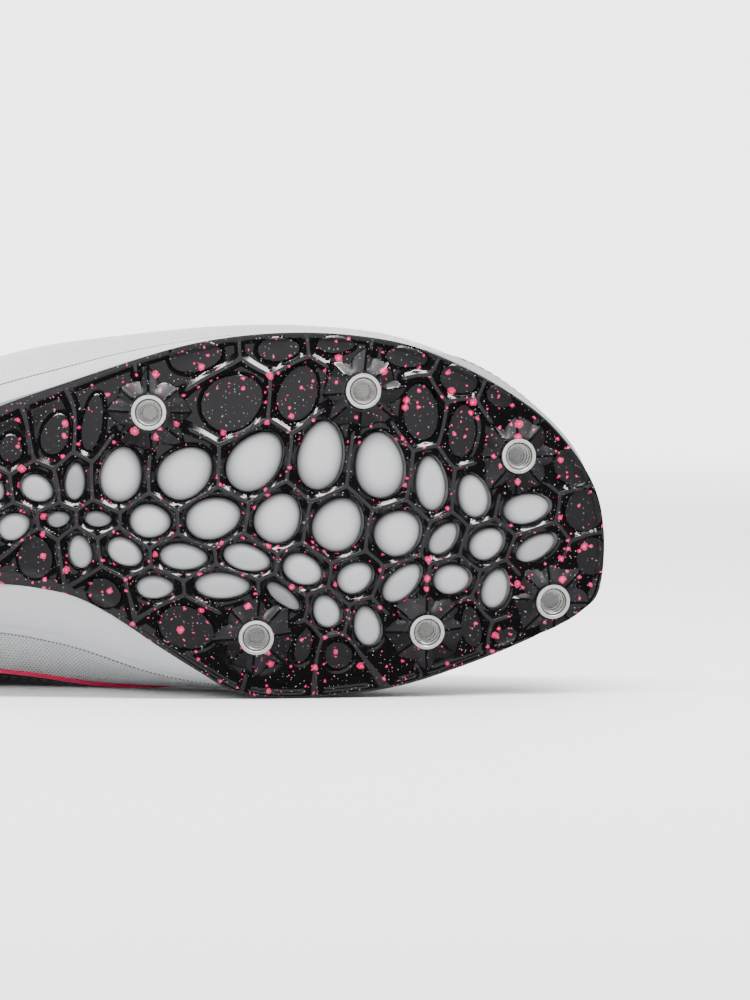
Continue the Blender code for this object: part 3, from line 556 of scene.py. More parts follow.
def relief(points):
    """Relief at points of the sole: lift, label of the smooth patch, satin and tone, and holes.

    Satin is a distance in millimetres, more than 0 on the satin flats and less on the gloss.
    """
    distances = cell_distances(points)
    order = np.argsort(distances, axis=1)[:, :2]
    picked = np.arange(len(points))
    site = order[:, 0]
    near = distances[picked, site]
    aside = 0.5 * (distances[picked, order[:, 1]] - near)
    lift = RIDGE - FLANK_DROP * np.clip((aside - RIDGE_HALF) / FLANK, 0.0, 1.0)
    lift = lift - LIP_DROP * np.clip(1.0 - near / LIP, 0.0, 1.0) ** 2
    edge = edge_distance(points)
    outer = smooth_step(0.5 + points[:, 1] / (2.0 * SIDE_BLEND))
    width = (np.interp(points[:, 0] / LENGTH, *INNER_EDGE) * (1.0 - outer)
             + np.interp(points[:, 0] / LENGTH, *OUTER_EDGE) * outer)
    band = smooth_step((edge / width - BAND_START) / (1.0 - BAND_START))
    lift = lift * band + (1.0 - band) * EDGE_LEVEL
    border = BORDER_SHARE * width - BORDER_BARE - edge
    satin = np.maximum(RIDGE_HALF - aside, np.minimum(border, near - PAD_MARGIN))
    star, fold, radius, rib = star_lift(points)
    cleared = 1.0 - smooth_step((radius - STAR_CLEARING[0]) / (STAR_CLEARING[1] - STAR_CLEARING[0]))
    lift = lift + (np.minimum(lift, STAR_FLOOR) - lift) * cleared * (near > 0.0)
    satin = satin - STAR_GLOSS * cleared
    on_star = (star > lift) & (near > 0.0)
    facet = np.minimum(rib - RIB_HALF, (star - lift) / STAR_SLOPE - PAD_MARGIN)
    satin = np.where(on_star, facet, satin)
    # Painted sheen: each facet of a star gets its own grey.
    tone = np.where(on_star, STAR_SHEEN + STAR_SHEEN_SPREAD * np.sin(fold * 5.1), 1.0)
    lift = np.where(on_star, star, lift)
    blind = (near < 0.0) & (site >= FIRST_BLIND)
    pad = np.clip(-near / PAD_ROUND, 0.0, 1.0)
    lift = np.where(blind, lift + PAD_RISE * pad, lift)
    satin = np.where(blind, -near - 0.5 * PAD_MARGIN, satin)
    tone = np.where(blind, PAD_TONE, tone)
    zone = (aside > RIDGE_HALF).astype(int) + (aside > RIDGE_HALF + FLANK)
    label = 10 * site + np.where(near < -PAD_ROUND, PAD_TOP, np.where(near < 0.0, PAD_SIDE, zone))
    label = np.where(on_star, STAR_LABEL + fold, label)
    label = np.where(radius < SOCKET_HOLE, SOCKET_LABEL, label)
    label = np.where(edge < 0.0, OUTSIDE_LABEL, label)
    hole = (edge < 0.0) | ((near < 0.0) & (site < FIRST_BLIND)) | (radius < SOCKET_HOLE)
    return Relief(lift, label, satin / MM, tone, hole)


print("star of", STAR_RIBS, "ribs round each socket")

# %% [markdown]
# ## The plate's mesh
# A fine grid covers the sole. Wherever a grid edge crosses a ridge, a rib or a cell's edge, its
# nearer end is moved onto the crossing. The folds then run along whole edges and stay crisp in
# the gloss. Faces in the open cells and outside the outline are deleted, and what is left is
# extruded to the plate's thickness.

# %% Grid snapped to the folds
PLATE_PITCH = 0.42 * MM
BACK_FLATNESS = math.radians(2.0)
PLATE_BEVEL = 0.22 * MM
BISECTIONS = 8
RIM_ROUNDS = 3
RIM_STEP = 0.02 * MM


def snap_to_folds(points, edges):
    """Moves points onto the folds that their edges cross; returns which points moved."""
    labels = relief(points).label
    cut = edges[labels[edges[:, 0]] != labels[edges[:, 1]]]
    first = points[cut[:, 0]]
    second = points[cut[:, 1]]
    own = labels[cut[:, 0]]
    low = np.zeros(len(cut))
    high = np.ones(len(cut))
    for _ in range(BISECTIONS):
        middle = 0.5 * (low + high)
        same = relief(first + (second - first) * middle[:, None]).label == own
        low = np.where(same, middle, low)
        high = np.where(same, high, middle)
    share = 0.5 * (low + high)
    crossing = first + (second - first) * share[:, None]
    mover = np.where(share < 0.5, cut[:, 0], cut[:, 1])
    shift = np.minimum(share, 1.0 - share)
    moved = points.copy()
    snapped = np.zeros(len(points), bool)
    order = np.argsort(-shift)
    moved[mover[order]] = crossing[order]
    snapped[mover] = True
    return moved, snapped


def rim_distance(points):
    """Distance inwards from the nearest rim: the outline, an open cell or a socket's hole."""
    cells = cell_distances(points)[:, :FIRST_BLIND].min(1)
    sockets = star_lift(points)[2] - SOCKET_HOLE
    return np.minimum(np.minimum(edge_distance(points), cells), sockets)


def settle_rims(bm):
    """Moves the vertices of every open edge exactly onto the rim that they lie near."""
    rim = [vert for vert in bm.verts if vert.is_boundary]
    points = np.array([vert.co[:2] for vert in rim])
    for _ in range(RIM_ROUNDS):
        offset = rim_distance(points)
        slope = np.column_stack([rim_distance(points + (RIM_STEP, 0.0)) - offset,
                                 rim_distance(points + (0.0, RIM_STEP)) - offset]) / RIM_STEP
        steep = np.maximum((slope ** 2).sum(1), 0.25)
        shift = np.clip(offset / steep, -PLATE_PITCH, PLATE_PITCH)
        points = points - slope * shift[:, None]
    for vert, point in zip(rim, points):
        vert.co.xy = point


def plate_sheet():
    """The plate's face as a flat sheet in X and Y, with its folds on edges."""
    bm = bmesh.new()
    low = OUTLINE_LOOP.min(0) - PLATE_PITCH
    high = OUTLINE_LOOP.max(0) + PLATE_PITCH
    columns, rows = np.ceil((high - low) / PLATE_PITCH).astype(int)
    bmesh.ops.create_grid(bm, x_segments=int(columns), y_segments=int(rows), size=0.5)
    points = low + (positions(bm)[:, :2] + 0.5) * (high - low)
    edges = np.array([[vert.index for vert in edge.verts] for edge in bm.edges])
    points, snapped = snap_to_folds(points, edges)
    place_all(bm, np.column_stack([points, np.zeros(len(points))]))
    bmesh.ops.connect_verts(bm, verts=[vert for vert in bm.verts if snapped[vert.index]])
    centres = np.array([face.calc_center_median()[:2] for face in bm.faces])
    gone = relief(centres).hole
    bmesh.ops.delete(bm, geom=[face for face, lost in zip(bm.faces[:], gone) if lost], context="FACES")
    settle_rims(bm)
    bmesh.ops.dissolve_degenerate(bm, edges=bm.edges, dist=0.02 * MM)
    return bm


def make_plate(finish):
    """The glossy plate with its net of ridges, sockets' stars and blind cells."""
    bm = plate_sheet()
    flat = positions(bm)[:, :2]
    shape = relief(flat)
    for name, values in (("satin", shape.satin), ("tone", shape.tone), ("front", np.ones(len(flat)))):
        kept = bm.verts.layers.float.new(name)
        for vert, value in zip(bm.verts, values):
            vert[kept] = value
    depth = sole_height(flat[:, 0], flat[:, 1]) - shape.lift
    place_all(bm, np.column_stack([flat[:, 0], depth, flat[:, 1]]))
    rims = [edge for edge in bm.edges if edge.is_boundary]
    grown = bmesh.ops.extrude_face_region(bm, geom=bm.faces[:])
    back = [item for item in grown["geom"] if isinstance(item, bmesh.types.BMVert)]
    front = bm.verts.layers.float["front"]
    for vert in back:
        vert.co.y = float(sole_height(vert.co.x, vert.co.z)) + PLATE_THICKNESS
        vert[front] = 0.0
    joins = [item for item in grown["geom"] if isinstance(item, bmesh.types.BMEdge)]
    bmesh.ops.dissolve_limit(bm, angle_limit=BACK_FLATNESS, verts=back, edges=joins)
    rims = [edge for edge in rims if edge.is_valid]
    bmesh.ops.bevel(bm, geom=rims, offset=PLATE_BEVEL,
                    affect="EDGES", segments=2, profile=0.5, material=-1, clamp_overlap=True)
    return finish_piece("plate_net", bm, finish, ["spike_plate"], crisp=32.0)


# %% [markdown]
# ## Plate finish
# The plate is black glossy plastic. Its slopes are polished, and its flats come out of the mould
# with a satin grain. Their dark grey is partly that grain and partly painted sheen. Flecks of pink
# and a dust of pale grey are sprayed into it: each kind is a Voronoi pattern in which only some
# cells hold a round fleck. Gloss or satin comes from the relief's own distances, kept on the
# mesh's points, so both follow the folds.

# %% Speckled gloss plastic
GLOSS_BLACK = colour(5, 4, 6)
# Greys of the flats: partly the satin grain, partly painted sheen.
SATIN_SHEEN_DARK = colour(17, 16, 18)
SATIN_SHEEN_LIGHT = colour(42, 40, 44)
SATIN_CLOUD = colour(24, 23, 26)
FLECK_PINK = colour(204, 26, 90)
FLECK_MIDDLE = colour(240, 140, 176)
FLECKS = ((5.8 * MM, 0.46, 0.20), (3.0 * MM, 0.36, 0.19), (1.6 * MM, 0.14, 0.20))
DUST = (1.1 * MM, 0.46, 0.16)
DUST_GREY = colour(156, 152, 158)
FLECK_WOBBLE = 1.0 * MM


def flecks(finish, place, size, share, largest):
    """Round flecks and their bright middles: one in some of the cells of the given size."""
    cells = finish.node("TexVoronoi", {"voronoi_dimensions": "2D"},
                        {"Vector": place, "Scale": 1.0 / size}, "Distance")
    chance = finish.node("SeparateColor", {}, {"Color": cells.output("Color")}, "Red")
    radius = ((chance - (1.0 - share)) / share).highest(0.0) * largest
    inside = (radius - cells) / 0.02
    return inside.ramp(0.0, 1.0), (radius * 0.45 - cells).ramp(0.0, 0.04)


def speckled_plastic():
    """Black plastic: gloss on the slopes, satin with painted sheen on the flats, flecks on the face
    alone.
    """
    finish = Finish("speckled_plastic", "plate", IOR=1.5, Coat_Roughness=0.09)
    base = finish.node("Mapping", {}, {"Vector": finish.place(), "Rotation": (math.pi / 2.0, 0.0, 0.0)})
    wobble = finish.node("TexNoise", {}, {"Vector": base, "Scale": 900.0, "Detail": 1.0}, "Color")
    place = finish.node("VectorMath", {"operation": "MULTIPLY_ADD"},
                        {0: wobble, 1: (FLECK_WOBBLE,) * 3, 2: base})
    front = finish.attribute("front").ramp(0.75, 0.95)
    satin = finish.attribute("satin").ramp(-0.06, 0.10) * front
    # The flats' grey is partly the satin grain and partly painted sheen, set by the tone layer.
    tone = finish.mix(finish.attribute("tone"), SATIN_SHEEN_DARK, SATIN_SHEEN_LIGHT)
    cloud = finish.noise(4.0 * MM)
    body = finish.mix(satin, GLOSS_BLACK, tone)
    body = finish.mix(cloud * satin * 0.4, body, SATIN_CLOUD)
    for size, share, largest in FLECKS:
        blob, middle = flecks(finish, place, size, share, largest)
        body = finish.mix(blob * front * 0.92, body, FLECK_PINK)
        body = finish.mix(middle * front * 0.45, body, FLECK_MIDDLE)
    dust = flecks(finish, place, *DUST)[0]
    body = finish.mix(dust * front * 0.75, body, DUST_GREY)
    finish.feed("Base Color", body)
    finish.feed("Roughness", satin * 0.26 + cloud * 0.08 + 0.09)
    finish.feed("Coat Weight", 0.35 - satin * 0.30)
    finish.bump(finish.noise(0.35 * MM) * satin, 0.04 * MM)
    return finish


PLATE_FINISH = speckled_plastic()
plate_net = make_plate(PLATE_FINISH)

# %% [markdown]
# ## The foam
# The midsole is one moulded piece of light grey foam. A loft would need two loops and a wall: here
# a grid is wrapped round the shoe instead, row by row, and its first and last rows fold together
# on the middle line, so that one operator closes the shell. The side wall bulges a little and
# has a moulded groove below its upper edge.

# %% Sections of the shoe
Section = namedtuple("Section", "low_along low_across edge_along edge_across "
                                "belly_along belly_across belly_rise "
                                "shoulder_along shoulder_across shoulder_rise "
                                "rim_along rim_across rim_height")
SECTIONS = [Section(*row) for row in (
    (0.018, -0.257, 0.008, -0.263, 0.000, -0.267, 0.24, 0.020, -0.256, 0.54, 0.040, -0.244, 1.00),
    (0.038, -0.065, 0.028, -0.050, 0.022, -0.045, 0.24, 0.042, -0.063, 0.48, 0.058, -0.083, 0.94),
    (0.102, 0.072, 0.095, 0.108, 0.094, 0.128, 0.21, 0.108, 0.096, 0.41, 0.120, 0.043, 0.82),
    (0.190, 0.154, 0.190, 0.194, 0.190, 0.214, 0.19, 0.195, 0.177, 0.35, 0.204, 0.132, 0.74),
    (0.284, 0.199, 0.284, 0.239, 0.284, 0.279, 0.21, 0.291, 0.243, 0.46, 0.298, 0.177, 0.93),
    (0.378, 0.235, 0.378, 0.284, 0.371, 0.348, 0.23, 0.367, 0.292, 0.59, 0.364, 0.156, 1.13),
    (0.465, 0.310, 0.465, 0.350, 0.462, 0.418, 0.23, 0.458, 0.330, 0.60, 0.455, 0.143, 1.04),
    (0.553, 0.390, 0.553, 0.415, 0.549, 0.452, 0.20, 0.545, 0.330, 0.53, 0.542, 0.110, 0.89),
    (0.640, 0.440, 0.640, 0.456, 0.636, 0.473, 0.17, 0.625, 0.330, 0.47, 0.611, 0.085, 0.82),
    (0.720, 0.455, 0.720, 0.463, 0.716, 0.472, 0.16, 0.698, 0.320, 0.46, 0.640, 0.053, 0.80),
    (0.807, 0.425, 0.807, 0.430, 0.804, 0.436, 0.15, 0.764, 0.270, 0.44, 0.651, 0.027, 0.79),
    (0.895, 0.315, 0.895, 0.319, 0.891, 0.324, 0.14, 0.829, 0.180, 0.39, 0.655, 0.000, 0.785),
    (0.965, 0.135, 0.965, 0.135, 0.964, 0.132, 0.12, 0.885, 0.055, 0.34, 0.656, -0.021, 0.785),
    (0.992, -0.070, 0.990, -0.070, 0.990, -0.072, 0.11, 0.925, -0.085, 0.31, 0.656, -0.034, 0.785),
    (0.988, -0.250, 0.984, -0.248, 0.982, -0.246, 0.11, 0.915, -0.180, 0.31, 0.656, -0.048, 0.785),
    (0.940, -0.360, 0.938, -0.358, 0.935, -0.358, 0.13, 0.880, -0.258, 0.35, 0.654, -0.064, 0.79),
    (0.865, -0.446, 0.865, -0.443, 0.862, -0.450, 0.16, 0.820, -0.325, 0.41, 0.647, -0.085, 0.80),
    (0.771, -0.515, 0.771, -0.510, 0.767, -0.514, 0.18, 0.738, -0.380, 0.46, 0.633, -0.112, 0.82),
    (0.676, -0.522, 0.676, -0.522, 0.673, -0.528, 0.20, 0.658, -0.410, 0.49, 0.604, -0.133, 0.85),
    (0.582, -0.392, 0.582, -0.487, 0.575, -0.533, 0.24, 0.567, -0.440, 0.53, 0.538, -0.149, 0.91),
    (0.487, -0.245, 0.487, -0.405, 0.480, -0.537, 0.30, 0.476, -0.440, 0.60, 0.447, -0.179, 1.04),
    (0.400, -0.248, 0.400, -0.375, 0.393, -0.540, 0.30, 0.385, -0.437, 0.62, 0.356, -0.272, 1.13),
    (0.305, -0.334, 0.305, -0.421, 0.302, -0.518, 0.26, 0.298, -0.445, 0.53, 0.291, -0.369, 0.94),
    (0.204, -0.431, 0.204, -0.480, 0.200, -0.512, 0.21, 0.204, -0.473, 0.38, 0.204, -0.425, 0.77),
    (0.109, -0.476, 0.102, -0.525, 0.102, -0.535, 0.22, 0.113, -0.489, 0.43, 0.124, -0.430, 0.84),
    (0.042, -0.423, 0.030, -0.450, 0.025, -0.465, 0.24, 0.047, -0.420, 0.49, 0.062, -0.376, 0.95))]
ROUND = len(SECTIONS)


def sections_at(places):
    """The table's columns at places round the shoe, as one Section of arrays."""
    return Section(*curve_points(SECTIONS, places, True).T)


def skin(rings, closed=False, metres=(1.0, 1.0)):
    """A grid whose vertices are moved to rows of points; closed joins its sides."""
    rings = np.asarray(rings, float)
    if closed:
        rings = np.concatenate([rings, rings[:, :1]], axis=1)
    rows, columns = rings.shape[:2]
    bm = bmesh.new()
    bmesh.ops.create_grid(bm, x_segments=columns - 1, y_segments=rows - 1, size=0.5)
    share = positions(bm)[:, :2] + 0.5
    column = np.rint(share[:, 0] * (columns - 1)).astype(int)
    row = np.rint(share[:, 1] * (rows - 1)).astype(int)
    weave = bm.loops.layers.uv.new("weave")
    woven = share * metres
    for face in bm.faces:
        for loop in face.loops:
            loop[weave].uv = woven[loop.vert.index]
    place_all(bm, rings[row, column])
    bmesh.ops.remove_doubles(bm, verts=bm.verts, dist=0.004 * MM)
    bmesh.ops.dissolve_degenerate(bm, edges=bm.edges, dist=0.002 * MM)
    return bm


print(ROUND, "sections round the shoe")

# %% The midsole
BODY_STEPS = 10
FACE_SHARES = (1.0, 0.85, 0.65, 0.45, 0.25, 0.12, 0.05, 0.015)
WALL_ROWS = 22
WALL_BULGE = 0.5 * MM
WALL_GROOVE = 0.45 * MM
GROOVE_PLACE = 0.84
GROOVE_HALF = 0.045
FOAM_EDGE = 1.0 * MM
DOME_DEPTH = 3.7 * MM
DOME_GAP = 0.14 * MM
DOME_PROUD = 0.85 * MM
DOME_FULLNESS = 2.9
DOME_UNEVEN = 0.25 * MM
# Painted shade on the domes: rims darken from DOME_MIDDLE outwards, and small domes darken all over.
DOME_PAINTED_SHADE = 1.5
DOME_MIDDLE = 0.42
DOME_FADE = 1.4
TREAD_TOUCH = 0.1 * MM
TREAD_PAD = 5.2 * MM
TREAD_STRETCH = 0.62
FOAM_PORE = 0.8 * MM
TREAD_END = 0.215
TREAD_FADE = 0.02


def face_ring(loop, share, height):
    """Ring on a face, part of the way from the loop to the shoe's middle line."""
    paired = np.roll(loop[::-1], 1, axis=0)
    flat = loop + (paired - loop) * (share / 2.0)
    return np.column_stack([flat[:, 0], height(flat[:, 0], flat[:, 1]), flat[:, 1]])


def outward_in_plane(loop):
    """Directions out of a flat loop, square to its own run."""
    chord = np.roll(loop, -1, axis=0) - np.roll(loop, 1, axis=0)
    side = np.column_stack([-chord[:, 1], chord[:, 0]])
    return unit(side)


def foam_edges():
    """The foam's lower and upper edge, as loops in the sole's plane."""
    row = sections_at(np.arange(0.0, ROUND, 1.0 / BODY_STEPS))
    return (np.column_stack([row.low_along * LENGTH, row.low_across * BALL_WIDTH]),
            np.column_stack([row.edge_along * LENGTH, row.edge_across * BALL_WIDTH]))


def foam_rings():
    """Rows of the foam's skin: lower face, side wall and upper face."""
    low, edge = foam_edges()
    rings = [face_ring(low, share, foam_bottom) for share in FACE_SHARES]
    foot = face_ring(low, 0.0, foam_bottom)
    head = face_ring(edge, 0.0, lambda x, z: foam_top(x))
    out = outward_in_plane(edge)
    out = np.column_stack([out[:, 0], np.zeros(len(out)), out[:, 1]])
    for share in np.linspace(0.0, 1.0, WALL_ROWS):
        bulge = WALL_BULGE * math.sin(math.pi * share)
        groove = WALL_GROOVE * math.exp(-((share - GROOVE_PLACE) / GROOVE_HALF) ** 2)
        rounding = FOAM_EDGE * max(abs(share - 0.5) * 2.0 - 0.85, 0.0) / 0.15 * 0.4
        rings.append(foot + (head - foot) * share + out * (bulge - groove - rounding))
    rings += [face_ring(edge, share, lambda x, z: foam_top(x)) for share in FACE_SHARES[::-1]]
    return rings


def add_dome(bm, number, cell, rim):
    """A pillow of foam that bulges through one open cell, with painted shade kept on a layer: darker
    towards its rim, and darker all over in a small cell.
    """
    made = bmesh.ops.create_uvsphere(bm, u_segments=30, v_segments=16, radius=1.0)["verts"]
    points = np.array([vert.co[:] for vert in made])
    radius = np.clip(np.hypot(points[:, 0], points[:, 1]), 0.0, 1.0)
    points[:, 2] = np.sign(points[:, 2]) * (1.0 - radius ** DOME_FULLNESS) ** (1.0 / DOME_FULLNESS)
    points[:, 1] *= (1.0 - CELL_EGG * points[:, 0]) * (cell.short * BALL_WIDTH / 2.0 - DOME_GAP)
    points[:, 0] *= cell.long * BALL_WIDTH / 2.0 - DOME_GAP
    points[:, 2] *= DOME_DEPTH
    for vert, point in zip(made, points):
        vert.co = point
    x, z = cell.along * LENGTH, cell.across * BALL_WIDTH
    small = min(1.0, cell.short / 0.10)
    shade = np.clip((radius - DOME_MIDDLE) / (1.0 - DOME_MIDDLE), 0.0, 1.0) ** DOME_FADE
    for vert, value in zip(made, np.maximum(shade, DOME_PAINTED_SHADE * (1.0 - small))):
        vert[rim] = value
    proud = DOME_PROUD * small - DOME_UNEVEN * (0.5 + 0.5 * math.sin(number * 2.4))
    normal = sole_normal(x, z)
    centre = Vector((x, float(sole_height(x, z)), z)) + normal * (proud - DOME_DEPTH)
    lean = Vector((0.0, -1.0, 0.0)).rotation_difference(normal).to_matrix().to_4x4()
    turn = (lean @ Matrix.Rotation(-math.radians(cell.turn), 4, "Y")
            @ Matrix.Rotation(math.pi / 2.0, 4, "X"))
    bmesh.ops.transform(bm, matrix=Matrix.Translation(centre) @ turn, verts=made)


def make_foam(finish):
    """The midsole with its domes."""
    bm = skin(foam_rings(), closed=True)
    # The rim layer holds the domes' painted shade.
    rim = bm.verts.layers.float.new("rim")
    tread = bm.verts.layers.float.new("tread")
    for vert in bm.verts:
        under = abs(vert.co.y - float(foam_bottom(vert.co.x, vert.co.z))) < TREAD_TOUCH
        vert[tread] = float(smooth_step((TREAD_END - vert.co.x / LENGTH) / TREAD_FADE)) * under
    for number, cell in enumerate(OPEN_CELLS):
        add_dome(bm, number, cell, rim)
    return finish_piece("foam_midsole", bm, finish, ["midsole"], crisp=50.0)


def foam_material():
    """Matt foam: a fine skin of closed cells, with slightly darker clouds and painted shade on the
    domes.
    """
    finish = Finish("foam", "foam", Specular_IOR_Level=0.35)
    cloud = finish.noise(12.0 * MM, 3.0)
    grain = finish.noise(0.5 * MM, 4.0)
    pores = finish.node("TexVoronoi", {},
                        {"Vector": finish.place(), "Scale": 1.0 / FOAM_PORE}, "Distance")
    body = finish.mix(cloud, colour(180, 181, 184), colour(194, 195, 197))
    body = finish.mix(pores.ramp(0.30, 0.05) * 0.16, body, colour(150, 151, 154))
    # Painted shade: the rim layer darkens each dome towards its rim, and small domes all over.
    body = finish.mix(finish.attribute("rim") * 0.85 + cloud * 0.06, body, colour(58, 58, 60))
    finish.feed("Base Color", body)
    finish.feed("Roughness", grain * 0.15 + 0.55)
    sole = finish.node("Mapping", {}, {"Vector": finish.place(), "Rotation": (math.pi / 2.0, 0.0, 0.0),
                                       "Scale": (TREAD_STRETCH, 1.0, 1.0)})
    pads = finish.node("TexVoronoi", {"voronoi_dimensions": "2D", "feature": "DISTANCE_TO_EDGE"},
                       {"Vector": sole, "Scale": 1.0 / TREAD_PAD, "Randomness": 0.35}, "Distance")
    tread = pads.ramp(0.07, 0.17) * finish.attribute("tread")
    finish.bump(tread * 8.0 + grain * 0.6 + pores * 0.4, 0.09 * MM)
    return finish


FOAM_FINISH = foam_material()
foam_midsole = make_foam(FOAM_FINISH)

# %% [markdown]
# ## Spike sockets
# Each socket is a turned steel insert with a flange, a stepped mouth and a blind threaded bore.
# A screw thread is a circle whose radius goes up and down along the axis and once more round it,
# so the bore's rows carry that wave, which fades out at both ends. The mouth is a step inside a
# narrow bright rim, and the bore narrows downwards, so the thread shows from straight in front too.
# The mouth's step and the thread's grooves carry a painted shade, and towards the bore's floor the
# steel darkens partly from dirt and partly from painted shade.

# %% Threaded sockets
SOCKET_SIDES = 56
THREAD_PITCH = 1.00 * MM
THREAD_DEPTH = 0.30 * MM
THREAD_ROWS = 54
SOCKET_BOTTOM = CLEARANCE - PLATE_THICKNESS
MOUTH_RADIUS = SOCKET_BORE / 2.0 + 1.00 * MM
MOUTH_DEPTH = 0.40 * MM
BORE_TOP = SOCKET_BORE / 2.0 + 0.60 * MM
BORE_TAPER = 1.40 * MM
THREAD_START = BOSS_HEIGHT - MOUTH_DEPTH
BORE_FLOOR = SOCKET_BOTTOM + SOCKET_FLOOR
THREAD_FADE = 0.40 * MM
EDGE_SOFTNESS = 0.15 * MM
FLOOR_SHADE = 0.55


def bore_share(height):
    """0 where the thread starts, 1 on the bore's floor."""
    return min(max((THREAD_START - height) / (THREAD_START - BORE_FLOOR), 0.0), 1.0)


def socket_rings():
    """Rows of one socket's skin about Z: outside, flange, mouth, thread and floor."""
    outer = SOCKET_FLANGE / 2.0
    body = SOCKET_BODY / 2.0
    shelf = BOSS_HEIGHT - FLANGE_THICKNESS
    mouth = MOUTH_RADIUS
    soft = EDGE_SOFTNESS
    outside = [(0.0, SOCKET_BOTTOM), (body, SOCKET_BOTTOM), (body, shelf), (outer, shelf),
               (outer, BOSS_HEIGHT - soft), (outer - 0.3 * soft, BOSS_HEIGHT - 0.3 * soft),
               (outer - soft, BOSS_HEIGHT), (mouth + 0.5 * soft, BOSS_HEIGHT),
               (mouth, BOSS_HEIGHT - 0.5 * soft), (mouth - 0.3 * soft, THREAD_START + 0.4 * soft),
               (BORE_TOP + 0.5 * soft, THREAD_START + 0.2 * soft)]
    inside = [(BORE_TOP - BORE_TAPER * bore_share(height), height)
              for height in np.linspace(THREAD_START, BORE_FLOOR, THREAD_ROWS)]
    bottom = [(0.5 * BORE_TOP, BORE_FLOOR), (0.0, BORE_FLOOR - soft)]
    turn = np.linspace(0.0, 2.0 * math.pi, SOCKET_SIDES, endpoint=False)
    rings = []
    for radius, height in outside + inside + bottom:
        fade = float(smooth_step(min(THREAD_START - height, height - BORE_FLOOR) / THREAD_FADE))
        phase = height / THREAD_PITCH * 2.0 * math.pi - turn
        tooth = np.abs((phase / math.pi) % 2.0 - 1.0) if radius <= BORE_TOP else np.zeros(len(turn))
        reach = radius + THREAD_DEPTH * fade * tooth
        rings.append(np.column_stack([reach * np.cos(turn), reach * np.sin(turn),
                                      np.full(len(turn), height)]))
    return rings


def bore_dirt_and_painted_shade(place):
    """Darkening at a place of the socket: painted shade, full on the mouth's step and in the thread's
    grooves, and towards the bore's floor partly dirt and partly painted shade.
    """
    radius = place.xy.length
    share = bore_share(place.z)
    if radius < MOUTH_RADIUS and THREAD_START < place.z < BOSS_HEIGHT - 0.5 * MOUTH_DEPTH:
        return 1.0
    if radius >= BORE_TOP + THREAD_DEPTH or place.z <= SOCKET_BOTTOM:
        return 0.0
    groove = (radius - BORE_TOP + BORE_TAPER * share) / THREAD_DEPTH
    return max(FLOOR_SHADE * share ** 3, min(groove, 1.0) * (share > 0.0))


def steel_material():
    """Turned steel: bright metal with fine uneven tool marks, and painted shade with some dirt in the
    bore.
    """
    finish = Finish("turned_steel", "socket", Metallic=0.55)
    marks = finish.noise(0.6 * MM, 3.0)
    cloud = finish.noise(4.0 * MM)
    bright = finish.mix(marks, colour(226, 225, 223), colour(242, 241, 239))
    # The bore layer darkens the steel: painted shade on the mouth's step and in the grooves, dirt and
    # painted shade towards the floor.
    finish.feed("Base Color", finish.mix(finish.attribute("bore") * 0.90, bright, colour(58, 58, 60)))
    finish.feed("Roughness", marks * 0.06 + cloud * 0.10 + 0.20)
    finish.bump(marks, 0.004 * MM)
    return finish


STEEL_FINISH = steel_material()
for number, row in enumerate(SOCKETS, 1):
    bm = skin(socket_rings(), closed=True)
    # The bore layer holds painted shade, with some dirt on the floor.
    bore = bm.verts.layers.float.new("bore")
    for vert in bm.verts:
        vert[bore] = bore_dirt_and_painted_shade(vert.co)
    bmesh.ops.transform(bm, matrix=seat_matrix(row.along * LENGTH, row.across * BALL_WIDTH, 0.0),
                        verts=bm.verts)
    finish_piece(f"threaded_socket_{number}", bm, STEEL_FINISH, [f"spike_socket_{number}"], crisp=30.0)

# %% [markdown]
# ## The upper's surface
# The upper is described by two numbers: a place round the shoe, counted in sections, and a level
# that climbs from the foam's edge (0) over the widest line (1) and the shoulder (2) to the rim
# (3). Every layer of the upper is a sheet at some height above that one surface, so the
# knit, the lining, the panels, the piping and the stitches all lie on each other.

# %% Surface of the last
TOP_LEVEL = 3.0


def upper_points(places, levels):
    """Points of the upper's outer face at arrays of places and levels."""
    places = np.asarray(places, float).ravel()
    levels = np.asarray(levels, float).ravel()
    row = sections_at(places)
    edge_y = foam_top(row.edge_along * LENGTH) + CLEARANCE
    along = np.array([row.edge_along, row.belly_along, row.shoulder_along, row.rim_along]) * LENGTH
    rise = np.array([edge_y, edge_y + row.belly_rise * COLLAR_HEIGHT,
                     edge_y + row.shoulder_rise * COLLAR_HEIGHT, row.rim_height * COLLAR_HEIGHT])
    across = np.array([row.edge_across, row.belly_across, row.shoulder_across, row.rim_across])
    stops = np.stack([along, rise, across * BALL_WIDTH], axis=1)
    stops = np.concatenate([2.0 * stops[:1] - stops[1:2], stops, 2.0 * stops[3:] - stops[2:3]])
    start = np.clip(np.floor(levels).astype(int), 0, 2)
    share = (levels - start)[:, None]
    picked = np.arange(len(levels))
    return between(*(stops[start + k, :, picked] for k in range(4)), share)


def upper_normals(places, levels):
    """Directions out of the upper's outer face."""
    step = 0.05
    places = np.asarray(places, float)
    levels = np.asarray(levels, float)
    round_shoe = upper_points(places + step, levels) - upper_points(places - step, levels)
    climb = (upper_points(places, np.minimum(levels + step, TOP_LEVEL))
             - upper_points(places, np.maximum(levels - step, 0.0)))
    return unit(np.cross(round_shoe, climb))


def layer(places, levels, lift):
    """Points at a height above the upper's outer face, for grids of places and levels."""
    places, levels, lift = np.broadcast_arrays(places, levels, lift)
    flat_places, flat_levels = places.ravel(), levels.ravel()
    points = (upper_points(flat_places, flat_levels)
              + upper_normals(flat_places, flat_levels) * lift.ravel()[:, None])
    return points.reshape(places.shape + (3,))


print("rim at the heel", np.round(upper_points([0.0], [3.0])[0] / MM, 1))

# %% [markdown]
# ## Creases of wear
# A shoe that has been worn folds where the toes bend and where the ankle moves. Each crease is a
# short line on the upper, with a soft trough along it and a ridge beside it.

